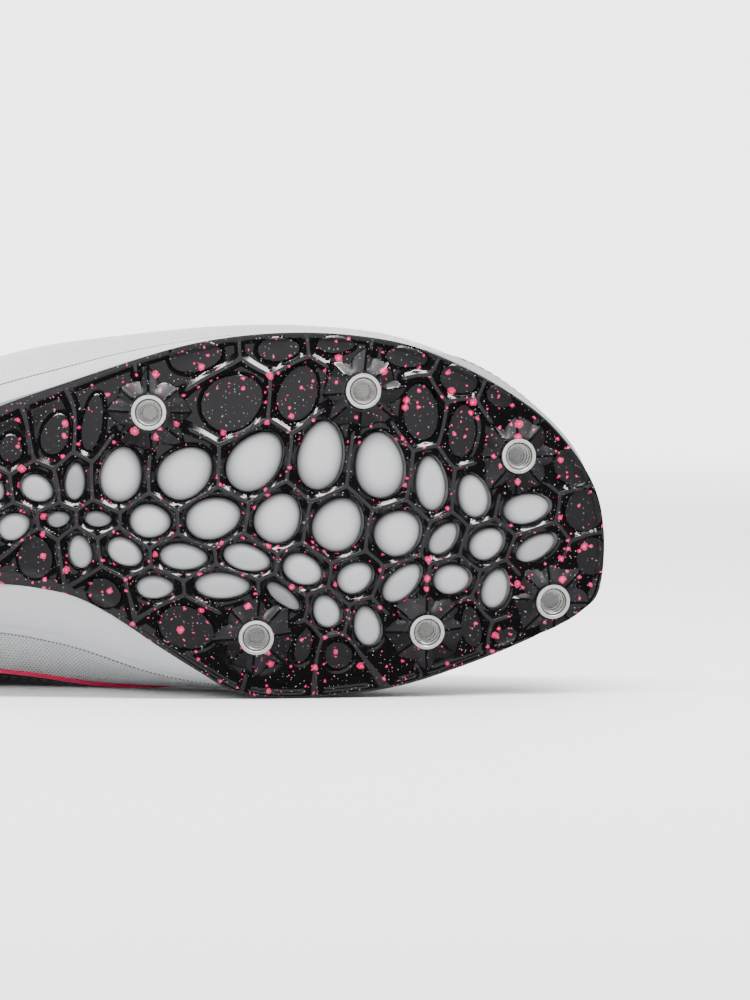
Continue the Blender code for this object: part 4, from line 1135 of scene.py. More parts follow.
# %% Creases listed one by one
Crease = namedtuple("Crease", "place level end_place end_level depth width")
CREASES = [Crease(*row) for row in (
    (9.3, 1.25, 10.1, 2.55, 1.1, 0.16), (10.2, 1.10, 10.9, 2.35, 0.8, 0.14),
    (8.3, 1.15, 8.9, 2.30, 0.7, 0.13), (16.7, 1.20, 15.8, 2.50, 1.1, 0.16),
    (17.6, 1.15, 17.0, 2.40, 0.9, 0.14), (15.3, 1.10, 14.6, 2.20, 0.6, 0.13),
    (11.9, 2.02, 14.2, 2.06, 0.7, 0.10), (11.4, 2.32, 14.9, 2.34, 0.7, 0.08),
    (3.2, 0.9, 4.4, 1.7, 0.6, 0.16), (22.6, 0.9, 21.8, 1.8, 0.7, 0.16),
    (23.4, 1.2, 22.5, 2.3, 0.6, 0.14), (2.4, 1.3, 3.3, 2.3, 0.5, 0.14))]


def crease_lift(places, levels):
    """Height that the creases add to the upper, in metres."""
    lift = np.zeros(np.shape(places))
    for crease in CREASES:
        run = np.array((crease.end_place - crease.place, crease.end_level - crease.level))
        off_place = places - crease.place
        off_level = levels - crease.level
        length = float(np.hypot(*run))
        share = (off_place * run[0] + off_level * run[1]) / length ** 2
        aside = (off_level * run[0] - off_place * run[1]) / length
        past = np.maximum(np.abs(share - 0.5) - 0.5, 0.0) * length
        fade = np.exp(-(past / crease.width) ** 2)
        bend = aside + 0.05 * np.sin(share * 7.0 + crease.place)
        trough = np.exp(-(bend / crease.width) ** 2) - 0.5 * np.exp(-((bend - 1.8 * crease.width)
                                                                    / crease.width) ** 2)
        lift = lift - crease.depth * MM * trough * fade
    return lift


print(len(CREASES), "creases")

# %% [markdown]
# ## Knit body
# The body is a thin warp knit. Its shell is one skin: up the outside, round the rim, down the
# inside and closed under the insole. The material's stitches are columns of slanted loops with
# rows of small eyelets in between, drawn on the shell's own UV map, which is in metres.
# Low on the outer side, which lies on top, a pale patch of painted light covers the knit and hides its
# pinholes.

# %% The knit shell
KNIT_WALL = 1.1 * MM
KNIT_COLUMNS = 16
OUTER_ROWS = 54
INNER_ROWS = 22
RIM_ROWS = 5
ROUND_LENGTH = 0.66
CLIMB_LENGTH = 0.075


def shell_rows(top, bottom_lift, top_lift, rim_pad=0.0):
    """Levels and heights up the outside, round the rim and down the inside."""
    up = [(level, top_lift) for level in np.linspace(0.0, top, OUTER_ROWS)]
    middle = 0.5 * (top_lift + bottom_lift)
    half = 0.5 * (top_lift - bottom_lift)
    over = []
    for k in range(1, RIM_ROWS):
        angle = math.pi * k / RIM_ROWS
        over.append((top + 0.012 * math.sin(angle) + rim_pad, middle + half * math.cos(angle)))
    down = [(level, bottom_lift) for level in np.linspace(top, 0.0, INNER_ROWS)]
    return up + over + down + up[:1]


def make_knit(finish):
    """The knit shell of the upper."""
    places = np.arange(0.0, ROUND, 1.0 / KNIT_COLUMNS)
    rings = []
    for level, lift in shell_rows(TOP_LEVEL, -KNIT_WALL, 0.0):
        levels = np.full(len(places), min(level, TOP_LEVEL))
        rings.append(layer(places, levels, lift + crease_lift(places, levels)))
    bm = skin(rings, closed=True, metres=(ROUND_LENGTH, CLIMB_LENGTH * len(rings) / OUTER_ROWS))
    return finish_piece("knit_upper", bm, finish, ["upper"], crisp=60.0)


def knit_material(name, slot, body_colour, valley_colour, hole_colour, gauge=1.1 * MM,
                  open_share=1.0, painted_top_light_share=0.0):
    """Knit with slanted loops and staggered pinholes, on a UV map in metres, with a pale patch of
    painted light low on the outer side.
    """
    finish = Finish(name, slot, Sheen_Weight=0.25, Sheen_Roughness=0.5)
    across, up = finish.weave()
    side = ((across / gauge).alone("FRACT") - 0.5).alone("ABSOLUTE")
    slant = (up / gauge + side * 1.6).wave(0.62)
    rib = side.ramp(0.5, 0.12)
    row = up / (gauge * 1.7)
    cell_x = (across / (gauge * 1.7) + row.alone("FLOOR") * 0.5).alone("FRACT") - 0.5
    cell_y = row.alone("FRACT") - 0.5
    reach = (cell_x * cell_x + cell_y * cell_y).alone("SQRT")
    # Painted light: a near-white patch low on the outer side, which lies on top, standing in for the
    # strong light from above.
    painted_top_light = up.ramp(0.030, 0.023) * across.ramp(0.01, 0.04) * across.ramp(0.32, 0.28) * painted_top_light_share
    hole = reach.ramp(0.30, 0.16) * (1.0 - painted_top_light) * open_share
    thread = finish.noise(0.4 * MM, 3.0)
    cloud = finish.noise(20.0 * MM, 3.0)
    height = (slant * 0.5 + rib * 0.5) * (1.0 - hole * 0.8) + thread * 0.2
    tone = finish.mix(height.ramp(0.1, 0.8), valley_colour, body_colour)
    tone = finish.mix(cloud * 0.18, tone, valley_colour)
    tone = finish.mix(painted_top_light, tone, colour(246, 247, 248))
    finish.feed("Base Color", finish.mix(hole * 0.85, tone, hole_colour))
    finish.feed("Roughness", thread * 0.15 + 0.75)
    finish.bump(height, 0.28 * MM)
    return finish


KNIT_GREY = knit_material("knit_grey", "knit", colour(233, 235, 236), colour(196, 198, 199),
                          colour(88, 90, 91), gauge=0.62 * MM, painted_top_light_share=0.92)
knit_upper = make_knit(KNIT_GREY)

# %% [markdown]
# ## Lining
# Inside, the shoe has a dark padded mesh lining, thicker at the collar. It is a second shell whose
# outer face lies against the knit and whose rim rolls over the knit's cut edge.

# %% The padded lining
LINING_WALL = 0.7 * MM
COLLAR_PAD = 2.4 * MM
PAD_LEVELS = (1.9, 2.5)
COLLAR_PLACES = (5.2, 20.8)
COLLAR_OVERLAP = 0.6
COLLAR_BLEND = 0.9
ROLL_OVER = 0.35 * MM
ROLL_ROWS = 8
LINING_GAP = 0.05 * MM


def collar_share(places):
    """1 round the ankle, 0 along the throat."""
    start, end = COLLAR_PLACES
    wrapped = places % ROUND
    past_start = smooth_step((wrapped - start + COLLAR_OVERLAP) / COLLAR_BLEND)
    before_end = smooth_step((end + COLLAR_OVERLAP - wrapped) / COLLAR_BLEND)
    return 1.0 - past_start * before_end


def make_lining(finish):
    """The padded lining, as a shell inside the knit."""
    places = np.arange(0.0, ROUND, 1.0 / KNIT_COLUMNS)
    ankle = collar_share(places)
    outside = -KNIT_WALL - LINING_GAP
    rings = []
    for level in np.linspace(0.02, TOP_LEVEL, INNER_ROWS):
        levels = np.full(len(places), level)
        rings.append(layer(places, levels, outside + crease_lift(places, levels)))
    top = layer(places, TOP_LEVEL, outside)
    rim_up = unit(layer(places, TOP_LEVEL, 0.0) - layer(places, TOP_LEVEL - 0.08, 0.0))
    out = unit(layer(places, TOP_LEVEL, MM) - layer(places, TOP_LEVEL, 0.0))
    pad = (LINING_WALL + COLLAR_PAD * ankle)[:, None]
    start = (-outside + ROLL_OVER) * ankle[:, None]
    for k in range(ROLL_ROWS + 1):
        angle = math.pi * k / ROLL_ROWS
        middle = 0.5 * (start - pad)
        half = 0.5 * (start + pad)
        rings.append(top + out * (middle + half * math.cos(angle))
                     + rim_up * (0.2 * MM + 0.55 * half * math.sin(angle)))
    for level in np.linspace(TOP_LEVEL, 0.02, OUTER_ROWS // 2):
        levels = np.full(len(places), level)
        swell = smooth_step((level - PAD_LEVELS[0]) / (PAD_LEVELS[1] - PAD_LEVELS[0]))
        depth = LINING_WALL + COLLAR_PAD * ankle * float(swell)
        rings.append(layer(places, levels, outside - depth + crease_lift(places, levels)))
    rings.append(rings[0])
    bm = skin(rings, closed=True, metres=(ROUND_LENGTH, CLIMB_LENGTH * len(rings) / OUTER_ROWS * 2.0))
    return finish_piece("collar_lining", bm, finish, ["upper"], crisp=60.0)


LINING_MESH = knit_material("lining_mesh", "lining", colour(58, 58, 62), colour(34, 34, 37),
                            colour(12, 12, 14), gauge=1.4 * MM, open_share=0.7)
collar_lining = make_lining(LINING_MESH)

# %% [markdown]
# ## Panels on the knit
# Saddles, eyestay, heel counter and toe rand are thin cut pieces glued and sewn on the knit. Each
# is a patch between four edges, given as places and levels. Its grid is raised above the knit,
# and its outer rows turn down to it, so the edge is rounded and the panel is closed by a
# second sheet below.

# %% Panels
PANEL_LIFT = 0.65 * MM
PANEL_SINK = -0.25 * MM
PANEL_ROUND = 0.5 * MM
FILM_WEAVE = 1.6 * MM


def panel_points(low_edge, high_edge, columns, rows, lift):
    """Places, levels and points of a patch between two edges, each a table of (place, level)."""
    along = np.linspace(0.0, 1.0, columns)
    low = curve_points(low_edge, along * (len(low_edge) - 1), False)
    high = curve_points(high_edge, along * (len(high_edge) - 1), False)
    share = np.linspace(0.0, 1.0, rows)[:, None]
    places = low[:, 0] + (high[:, 0] - low[:, 0]) * share
    levels = np.clip(low[:, 1] + (high[:, 1] - low[:, 1]) * share, 0.0, TOP_LEVEL)
    return layer(places, levels, lift + crease_lift(places, levels))


def make_panel(name, finish, low_edge, high_edge, columns, rows, lift=PANEL_LIFT):
    """A closed thin panel with rounded edges."""
    flat = panel_points(low_edge, high_edge, columns, rows, 0.0)
    up = unit(panel_points(low_edge, high_edge, columns, rows, MM) - flat)
    steps_along = np.linalg.norm(np.diff(flat, axis=1), axis=2)
    steps_up = np.linalg.norm(np.diff(flat, axis=0), axis=2)
    run = np.concatenate([np.zeros((rows, 1)), np.cumsum(steps_along, axis=1)], axis=1)
    climb = np.concatenate([np.zeros((1, columns)), np.cumsum(steps_up, axis=0)], axis=0)
    border = np.minimum(np.minimum(run, run[:, -1:] - run), np.minimum(climb, climb[-1:] - climb))
    share = np.clip(border / PANEL_ROUND, 0.0, 1.0)
    rise = PANEL_SINK + (lift - PANEL_SINK) * np.sqrt(1.0 - (1.0 - share) ** 2)
    metres = (float(run.mean(0)[-1]), float(climb.mean(1)[-1]))
    bm = skin(flat + up * rise[:, :, None], metres=metres)
    back = skin(flat + up * PANEL_SINK, metres=metres)
    spare = bpy.data.meshes.new("spare")
    back.to_mesh(spare)
    back.free()
    bm.from_mesh(spare)
    bpy.data.meshes.remove(spare)
    bmesh.ops.remove_doubles(bm, verts=bm.verts, dist=0.01 * MM)
    return finish_piece(name, bm, finish, ["upper"], crisp=50.0)


def film_material(name, slot, body_colour, edge_colour, roughness):
    """Smooth synthetic film with a fine embossed grain and a faint weave showing through."""
    finish = Finish(name, slot, Specular_IOR_Level=0.45)
    across, up = finish.weave()
    emboss = (across + up).wave(FILM_WEAVE) * (across - up).wave(FILM_WEAVE)
    grain = finish.noise(0.6 * MM, 3.0)
    cloud = finish.noise(15.0 * MM, 3.0)
    scuff = finish.noise(3.5 * MM, 5.0).ramp(0.62, 0.80)
    tone = finish.mix(emboss * 0.35 + cloud * 0.3, body_colour, edge_colour)
    finish.feed("Base Color", finish.mix(scuff * 0.18, tone, colour(128, 128, 130)))
    finish.feed("Roughness", grain * 0.12 + scuff * 0.15 + roughness)
    finish.bump(emboss * 0.6 + grain * 0.4, 0.10 * MM)
    return finish


BLACK_FILM = film_material("black_film", "knit", colour(20, 20, 22), colour(34, 34, 37), 0.42)
GREY_FILM = film_material("grey_film", "knit", colour(150, 153, 155), colour(168, 171, 172), 0.38)

OUTER_SADDLE_LOW = ((2.6, 1.85), (4.0, 1.62), (5.4, 1.52), (6.8, 1.48), (8.2, 1.42), (9.3, 1.35))
OUTER_SADDLE_HIGH = ((4.0, 2.30), (5.0, 2.62), (5.9, 2.72), (6.9, 2.72), (7.8, 2.68), (8.5, 2.40))
INNER_SADDLE_LOW = ((16.6, 1.50), (17.9, 1.30), (19.2, 0.98), (20.4, 0.66), (21.8, 0.60), (23.4, 0.72))
INNER_SADDLE_HIGH = ((17.5, 2.40), (18.2, 2.68), (19.1, 2.72), (20.1, 2.72), (21.0, 2.62), (22.0, 2.30))
COUNTER_LOW = ((23.0, 0.06), (24.6, 0.04), (26.0, 0.04), (27.4, 0.04), (29.0, 0.06))
COUNTER_HIGH = ((23.7, 1.35), (24.7, 1.95), (26.0, 2.30), (27.3, 1.95), (28.3, 1.35))
RAND_LOW = ((10.2, 0.03), (11.8, 0.02), (13.2, 0.02), (14.6, 0.02), (16.2, 0.03))
RAND_HIGH = ((10.6, 0.55), (11.9, 1.00), (13.3, 1.12), (14.6, 1.00), (15.8, 0.55))
PANEL_SCALE = 1

PANELS = (("outer_saddle", BLACK_FILM, OUTER_SADDLE_LOW, OUTER_SADDLE_HIGH, 150, 90),
          ("inner_saddle", BLACK_FILM, INNER_SADDLE_LOW, INNER_SADDLE_HIGH, 150, 110),
          ("heel_counter", BLACK_FILM, COUNTER_LOW, COUNTER_HIGH, 180, 80),
          ("toe_rand", GREY_FILM, RAND_LOW, RAND_HIGH, 180, 40))
for name, finish, low_edge, high_edge, columns, rows in PANELS:
    make_panel(name, finish, low_edge, high_edge, columns // PANEL_SCALE, rows // PANEL_SCALE)

# %% [markdown]
# ## Eyestay
# The eyestay is a long narrow band that follows the throat from one side round its front to the
# other. It is made as the panels are, with its edges at two constant levels that draw together
# at its ends.

# %% The eyestay band
EYESTAY_LOW = ((4.6, 2.70), (6.0, 2.66), (8.0, 2.62), (10.0, 2.60), (13.0, 2.62), (16.0, 2.60),
               (18.0, 2.62), (20.0, 2.66), (21.4, 2.70))
EYESTAY_TOP = 2.985
EYESTAY_HIGH = [(place, EYESTAY_TOP) for place in (4.9, 6.0, 8.0, 10.0, 13.0, 16.0, 18.0, 20.0, 21.1)]
EYESTAY_LIFT = PANEL_LIFT + 0.35 * MM
make_panel("eyestay", BLACK_FILM, EYESTAY_LOW, EYESTAY_HIGH, 360 // PANEL_SCALE, 30 // PANEL_SCALE,
           lift=EYESTAY_LIFT)

# %% [markdown]
# ## Piping
# A thin pink cord is set into the lower edge of each saddle. It is a round section carried along
# that edge: rings of points square to the run, joined into one tube whose ends close to a point.

# %% Pink piping
PIPING_RADIUS = 0.62 * MM
PIPING_LIFT = 0.35 * MM
PIPING_STEPS = 160
TUBE_SIDES = 10


def tube(path, radius, up):
    """A closed tube along a path, whose section is drawn from the given up directions."""
    run = unit(np.gradient(path, axis=0))
    side = unit(np.cross(run, up))
    lift = np.cross(side, run)
    ends = np.ones(len(path))
    ends[[0, -1]] = 0.0
    turn = np.linspace(0.0, 2.0 * math.pi, TUBE_SIDES, endpoint=False)
    round_path = (side[:, None, :] * np.cos(turn)[None, :, None]
                  + lift[:, None, :] * np.sin(turn)[None, :, None])
    rings = path[:, None, :] + round_path * radius * ends[:, None, None]
    length = float(np.linalg.norm(np.diff(path, axis=0), axis=1).sum())
    return skin(rings, closed=True, metres=(2.0 * math.pi * radius, length))


def edge_path(edge, steps, lift, shift=0.0):
    """Points and outward directions along an edge given as places and levels."""
    picked = curve_points(edge, np.linspace(0.0, len(edge) - 1, steps), False)
    places, levels = picked[:, 0], np.clip(picked[:, 1] + shift, 0.0, TOP_LEVEL)
    height = lift + crease_lift(places, levels)
    return layer(places, levels, height), upper_normals(places, levels)


def cloth_material(name, slot, dark, light, period):
    """Spun thread or cord: fine slanted plies on the piece's UV map."""
    finish = Finish(name, slot, Sheen_Weight=0.2)
    across, along = finish.weave()
    plies = (across + along).wave(period)
    fibre = finish.noise(0.3 * MM, 3.0)
    finish.feed("Base Color", finish.mix(plies * 0.7 + fibre * 0.3, dark, light))
    finish.feed("Roughness", fibre * 0.2 + 0.6)
    finish.bump(plies, 0.12 * MM)
    return finish


PINK_CORD = cloth_material("pink_cord", "knit", colour(222, 12, 80), colour(252, 40, 108), 0.7 * MM)
for name, edge in (("outer_piping", OUTER_SADDLE_LOW), ("inner_piping", INNER_SADDLE_LOW)):
    path, up = edge_path(edge, PIPING_STEPS, PIPING_LIFT, -0.015)
    finish_piece(name, tube(path, PIPING_RADIUS, up), PINK_CORD, ["upper"], crisp=60.0)

# %% [markdown]
# ## Stitches
# Two rows of lock stitches hold each panel, and one row holds the eyestay. One stitch is a small
# flat ball stretched along the seam and half sunk into the panel. All rows are one mesh.

# %% Rows of stitches
STITCH_LENGTH = 2.1 * MM
STITCH_GAP = 0.6 * MM
STITCH_RADIUS = 0.24 * MM
STITCH_RISE = 0.12 * MM
SEAM_STEPS = 260


def stitch_row(bm, path, up):
    """Adds stitches along a path to a bmesh, square to the outward directions."""
    path = np.asarray(path)
    steps = np.linalg.norm(np.diff(path, axis=0), axis=1)
    run = np.concatenate([[0.0], np.cumsum(steps)])
    pitch = STITCH_LENGTH + STITCH_GAP
    count = int(run[-1] / pitch)
    for k in range(count):
        ends = [(k + 0.5 * STITCH_GAP / pitch) * pitch, (k + 1.0) * pitch - 0.5 * STITCH_GAP]
        low, high = (Vector([np.interp(end, run, path[:, axis]) for axis in range(3)]) for end in ends)
        middle = 0.5 * (ends[0] + ends[1])
        out = Vector([np.interp(middle, run, up[:, axis]) for axis in range(3)]).normalized()
        along = (high - low).normalized()
        side = out.cross(along).normalized()
        basis = Matrix((side * STITCH_RADIUS, out * STITCH_RISE,
                        along * (high - low).length / 2.0)).transposed().to_4x4()
        bmesh.ops.create_uvsphere(bm, u_segments=6, v_segments=5, radius=1.0,
                                  matrix=Matrix.Translation((low + high) / 2.0) @ basis)


GREY_THREAD = cloth_material("grey_thread", "knit", colour(62, 63, 65), colour(104, 106, 108),
                             0.5 * MM)
SEAMS = ((OUTER_SADDLE_LOW, PANEL_LIFT, (0.06, 0.12)), (INNER_SADDLE_LOW, PANEL_LIFT, (0.06, 0.12)),
         (COUNTER_HIGH, PANEL_LIFT, (-0.06, -0.12)), (RAND_HIGH, PANEL_LIFT, (-0.06, -0.12)),
         (EYESTAY_LOW, EYESTAY_LIFT, (0.05,)))
bm = bmesh.new()
for edge, lift, shifts in SEAMS:
    for shift in shifts:
        stitch_row(bm, *edge_path(edge, SEAM_STEPS, lift, shift))
finish_piece("panel_stitches", bm, GREY_THREAD, ["upper"], crisp=60.0)

# %% [markdown]
# ## Tongue
# The tongue is a padded strip. Its sections run under the eyestay on both sides and arch between
# the rims, and its top stands clear of the collar. A closed pillow comes from one skin that
# goes across the face and comes back behind it, while its thickness fades out at the edges.

# %% The padded tongue
TONGUE_THICKNESS = 3.0 * MM
TONGUE_CLEARANCE = 1.3 * MM
TONGUE_CROWN = 2.0 * MM
THROAT_OUTER = (10.0, 5.3)
THROAT_INNER = (16.0, 20.7)
TONGUE_LEVELS = (2.4, 2.7, 3.0)
TONGUE_STATIONS = 10
TONGUE_ARCH = (0.25, 0.5, 0.75)
TONGUE_TOP = ((-0.022, 0.045, 0.72), (-0.038, 0.13, 0.70), (-0.048, 0.22, 0.58))
TONGUE_COLUMNS = 44
TONGUE_ROWS = 110
CHANNEL_DEPTH = 0.35 * MM
CHANNEL_PLACE = 0.62
CHANNEL_HALF = 0.04


def throat_places(share):
    """Sections on both sides of the throat: 0 at its front, 1 at its top."""
    share = np.asarray(share, float)
    return (THROAT_OUTER[0] + (THROAT_OUTER[1] - THROAT_OUTER[0]) * share,
            THROAT_INNER[0] + (THROAT_INNER[1] - THROAT_INNER[0]) * share)


def tongue_sections():
    """The tongue's few cross-sections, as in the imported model."""
    depth = UPPER_WALL + TONGUE_CLEARANCE
    sections = []
    for share in np.linspace(0.0, 1.0, TONGUE_STATIONS):
        outer, inner = throat_places(share)
        left = layer(np.full(3, outer), np.array(TONGUE_LEVELS), -depth)
        right = layer(np.full(3, inner), np.array(TONGUE_LEVELS), -depth)
        crown = 0.5 * (left[-1] + right[-1])
        crown[1] += 2.0 * TONGUE_CROWN * float(smooth_step(2.0 * share))
        arch = [left[-1] * (1 - t) ** 2 + crown * 2 * t * (1 - t) + right[-1] * t ** 2
                for t in TONGUE_ARCH]
        sections.append(np.array([*left, *arch, *right[::-1]]))
    last = sections[-1]
    middle = 0.5 * (last[0] + last[-1])
    for along, rise, width in TONGUE_TOP:
        section = last + (along * LENGTH, rise * COLLAR_HEIGHT, 0.0)
        section[:, 2] = middle[2] + (section[:, 2] - middle[2]) * width
        sections.append(section)
    return np.array(sections)


def make_tongue(finish):
    """The tongue as a closed pillow."""
    few = tongue_sections()
    count, width = few.shape[:2]
    rows = curve_points(few.reshape(count, -1), np.linspace(0.0, count - 1, TONGUE_ROWS), False)
    rows = rows.reshape(TONGUE_ROWS, width, 3)
    across = np.linspace(0.0, width - 1, TONGUE_COLUMNS)
    face = np.array([curve_points(row, across, False) for row in rows])
    run = np.gradient(face, axis=0)
    side = np.gradient(face, axis=1)
    down = unit(np.cross(run, side))
    if down[:, :, 1].mean() > 0.0:
        down = -down
    v = np.linspace(0.0, 1.0, TONGUE_ROWS)[:, None]
    u = np.linspace(0.0, 1.0, TONGUE_COLUMNS)[None, :]
    full = (1.0 - np.abs(2.0 * u - 1.0) ** 7) ** 0.5 * (1.0 - np.abs(2.0 * v - 1.0) ** 24) ** 0.5
    channel = CHANNEL_DEPTH * np.exp(-((np.abs(2.0 * u - 1.0) - CHANNEL_PLACE) / CHANNEL_HALF) ** 2)
    top = face + down * (0.5 * TONGUE_THICKNESS * (1.0 - full) + channel)[:, :, None]
    back = face + down * (0.5 * TONGUE_THICKNESS * (1.0 + full))[:, :, None]
    loop = np.concatenate([top, back[:, ::-1]], axis=1)
    bm = skin(loop, closed=True, metres=(0.12, 0.13))
    piece = finish_piece("padded_tongue", bm, finish, ["tongue"], crisp=60.0)
    return piece


TONGUE_KNIT = knit_material("tongue_knit", "tongue", colour(172, 176, 177), colour(128, 132, 133),
                            colour(52, 54, 56), gauge=1.3 * MM, open_share=0.8)
padded_tongue = make_tongue(TONGUE_KNIT)

# %% [markdown]
# ## Insole
# The insole lies on the foam, a little inside the upper's wall. Its top is dished at the heel, and
# its cover is a fine brushed mesh.

# %% Insole
INSOLE_THICKNESS = 3.0 * MM
INSOLE_CLEARANCE = 1.2 * MM
INSOLE_DISH = 0.5 * MM


def make_insole(finish):
    """The insole, folded together on the middle line like the foam."""
    edge = foam_edges()[1]
    loop = edge - outward_in_plane(edge) * (UPPER_WALL + INSOLE_CLEARANCE)
    shares = FACE_SHARES + (0.0,)
    rings = [face_ring(loop, share, lambda x, z: foam_top(x) + CLEARANCE) for share in shares]
    for share in shares[::-1]:
        lift = CLEARANCE + INSOLE_THICKNESS - INSOLE_DISH * share
        rings.append(face_ring(loop, share, lambda x, z: foam_top(x) + lift))
    bm = skin(rings, closed=True, metres=(ROUND_LENGTH, 0.09))
    return finish_piece("insole_cover", bm, finish, ["insole"], crisp=60.0)


INSOLE_KNIT = knit_material("insole_knit", "lining", colour(132, 134, 138), colour(104, 106, 110),
                            colour(58, 60, 62), open_share=0.6)
insole_cover = make_insole(INSOLE_KNIT)

# %% [markdown]
# ## Laces and eyelets
# Six flat laces cross the tongue. Each rises from its eyelet, lies over the rim and the tongue and
# goes down into the eyelet on the other side. A moulded ring stiffens each eyelet.

# %% Flat laces through their eyelets
LACE_WIDTH = 6.0 * MM
LACE_THICKNESS = 1.2 * MM
LACE_BARS = 6
LACE_SEAT = 0.8 * MM
LACE_FIRST = 0.40
LACE_LAST = 0.97
LACE_END_LEVEL = 2.84
LACE_DIP = 0.6 * MM
OVERLAY_STEP = 0.7 * MM
EYELET_RADIUS = 2.1 * MM
EYELET_TUBE = 0.5 * MM
LACE_STEPS = 44
STRAND_WIDTH = 1.6 * MM
STRAND_PITCH = 1.2 * MM


def lace_stops(outer, inner):
    """Points of one lace: down in its eyelet, over the rim, the tongue and down again."""
    seat = OVERLAY_STEP + LACE_SEAT + LACE_THICKNESS / 2.0

    def above(place, level, lift):
        """One point over the upper."""
        return layer(np.array([place]), np.array([level]), lift)[0]

    first = above(outer, TOP_LEVEL, seat + CLEARANCE)
    last = above(inner, TOP_LEVEL, seat + CLEARANCE)
    crown = 0.5 * (first + last)
    crown[1] += TONGUE_CROWN
    sunk = LACE_END_LEVEL - 0.05
    low = seat * 0.75
    return [above(outer, sunk, -LACE_DIP), above(outer, LACE_END_LEVEL, low), first, crown, last,
            above(inner, LACE_END_LEVEL, low), above(inner, sunk, -LACE_DIP)]


def rim_run(place):
    """Direction along the eyestay's edge, towards the heel."""
    ends = upper_points([place - 0.1, place + 0.1], [2.9, 2.9])
    run = ends[1] - ends[0]
    return run if run[0] < 0.0 else -run


def make_lace(number, finish):
    """One flat woven lace."""
    share = LACE_FIRST + (LACE_LAST - LACE_FIRST) * number / (LACE_BARS - 1)
    outer, inner = throat_places(share)
    stops = lace_stops(outer, inner)
    path = curve_points(stops, np.linspace(0.0, len(stops) - 1, LACE_STEPS), False)
    run = unit(np.gradient(path, axis=0))
    blend = np.linspace(0.0, 1.0, LACE_STEPS)[:, None]
    wide = rim_run(outer) * (1.0 - blend) + rim_run(inner) * blend
    wide = unit(wide - run * (wide * run).sum(1)[:, None])
    thick = np.cross(run, wide)
    narrow = 0.55 + 0.45 * smooth_step(np.minimum(blend, 1.0 - blend) / 0.16)
    turn = np.linspace(0.0, 2.0 * math.pi, 20, endpoint=False)
    ring_x = np.sign(np.cos(turn)) * np.abs(np.cos(turn)) ** 0.6 * LACE_WIDTH / 2.0
    ring_y = np.sign(np.sin(turn)) * np.abs(np.sin(turn)) ** 0.7 * LACE_THICKNESS / 2.0
    rings = (path[:, None, :] + wide[:, None, :] * ring_x[None, :, None] * narrow[:, :, None]
             + thick[:, None, :] * ring_y[None, :, None])
    rings[0] = path[0]
    rings[-1] = path[-1]
    length = float(np.linalg.norm(np.diff(path, axis=0), axis=1).sum())
    bm = skin(rings, closed=True, metres=(2.2 * LACE_WIDTH, length))
    finish_piece(f"woven_lace_{number + 1}", bm, finish, [f"lace_bar_{number + 1}"], crisp=60.0)
    return outer, inner


def lace_material():
    """Flat braid: a herringbone of slanted strands on the lace's UV map."""
    finish = Finish("woven_lace", "lace", Sheen_Weight=0.3)
    across, along = finish.weave()
    strands = across / STRAND_WIDTH
    side = strands.math("PINGPONG", strands, 0.5)
    strand = (along / STRAND_PITCH + side * 1.4).wave(1.0)
    valley = side.ramp(0.0, 0.10)
    fibre = finish.noise(0.3 * MM, 3.0)
    height = strand * valley
    finish.feed("Base Color", finish.mix(height * 0.8 + fibre * 0.2, colour(168, 170, 172),
                                         colour(226, 227, 228)))
    finish.feed("Roughness", fibre * 0.15 + 0.7)
    finish.bump(height, 0.22 * MM)
    return finish


LACE_FINISH = lace_material()
eyelets = bmesh.new()
for number in range(LACE_BARS):
    for place in make_lace(number, LACE_FINISH):
        seat = layer(np.array([place]), np.array([LACE_END_LEVEL]), OVERLAY_STEP + 0.45 * MM)[0]
        out = Vector(upper_normals([place], [LACE_END_LEVEL])[0])
        turn = out.to_track_quat("Z", "X").to_matrix().to_4x4()
        profile = bmesh.ops.create_circle(eyelets, segments=10, radius=EYELET_TUBE,
                                          matrix=Matrix.Translation((EYELET_RADIUS, 0.0, 0.0))
                                          @ Matrix.Rotation(math.pi / 2.0, 4, "X"))
        edges = list({edge for vert in profile["verts"] for edge in vert.link_edges})
        before = set(eyelets.verts) - set(profile["verts"])
        bmesh.ops.spin(eyelets, geom=profile["verts"] + edges, cent=(0.0, 0.0, 0.0),
                       axis=(0.0, 0.0, 1.0), angle=2.0 * math.pi, steps=24, use_merge=True)
        made = [vert for vert in eyelets.verts if vert not in before]
        bmesh.ops.transform(eyelets, matrix=Matrix.Translation(seat) @ turn, verts=made)
finish_piece("eyelet_rings", eyelets, BLACK_FILM, ["upper"], crisp=60.0)

# %% [markdown]
# ## Floor and light
# The photograph is a plain studio picture on white. The floor is a pale disc that fades into the
# white background far away, so no horizon shows. A wide box overhead lights the floor and the
# shoe's upper side, a box in front lights the sole, and a box behind fills the far side. Gloss
# only mirrors what is bright, so two lamps are made for it alone: a narrow strip draws the thin
# white lines on the plate's slopes, and a large dim panel gives the flats their grey sheen. The
# world's light is stronger for the camera than for the mirrored rays, which keeps the black deep.

# %% Floor, lamps and background
FLOOR_RADIUS = 2.4
FLOOR_FADE = (0.55, 1.7)
BACKGROUND = 3.9
AMBIENT = 0.42
REFLECTED = 0.12


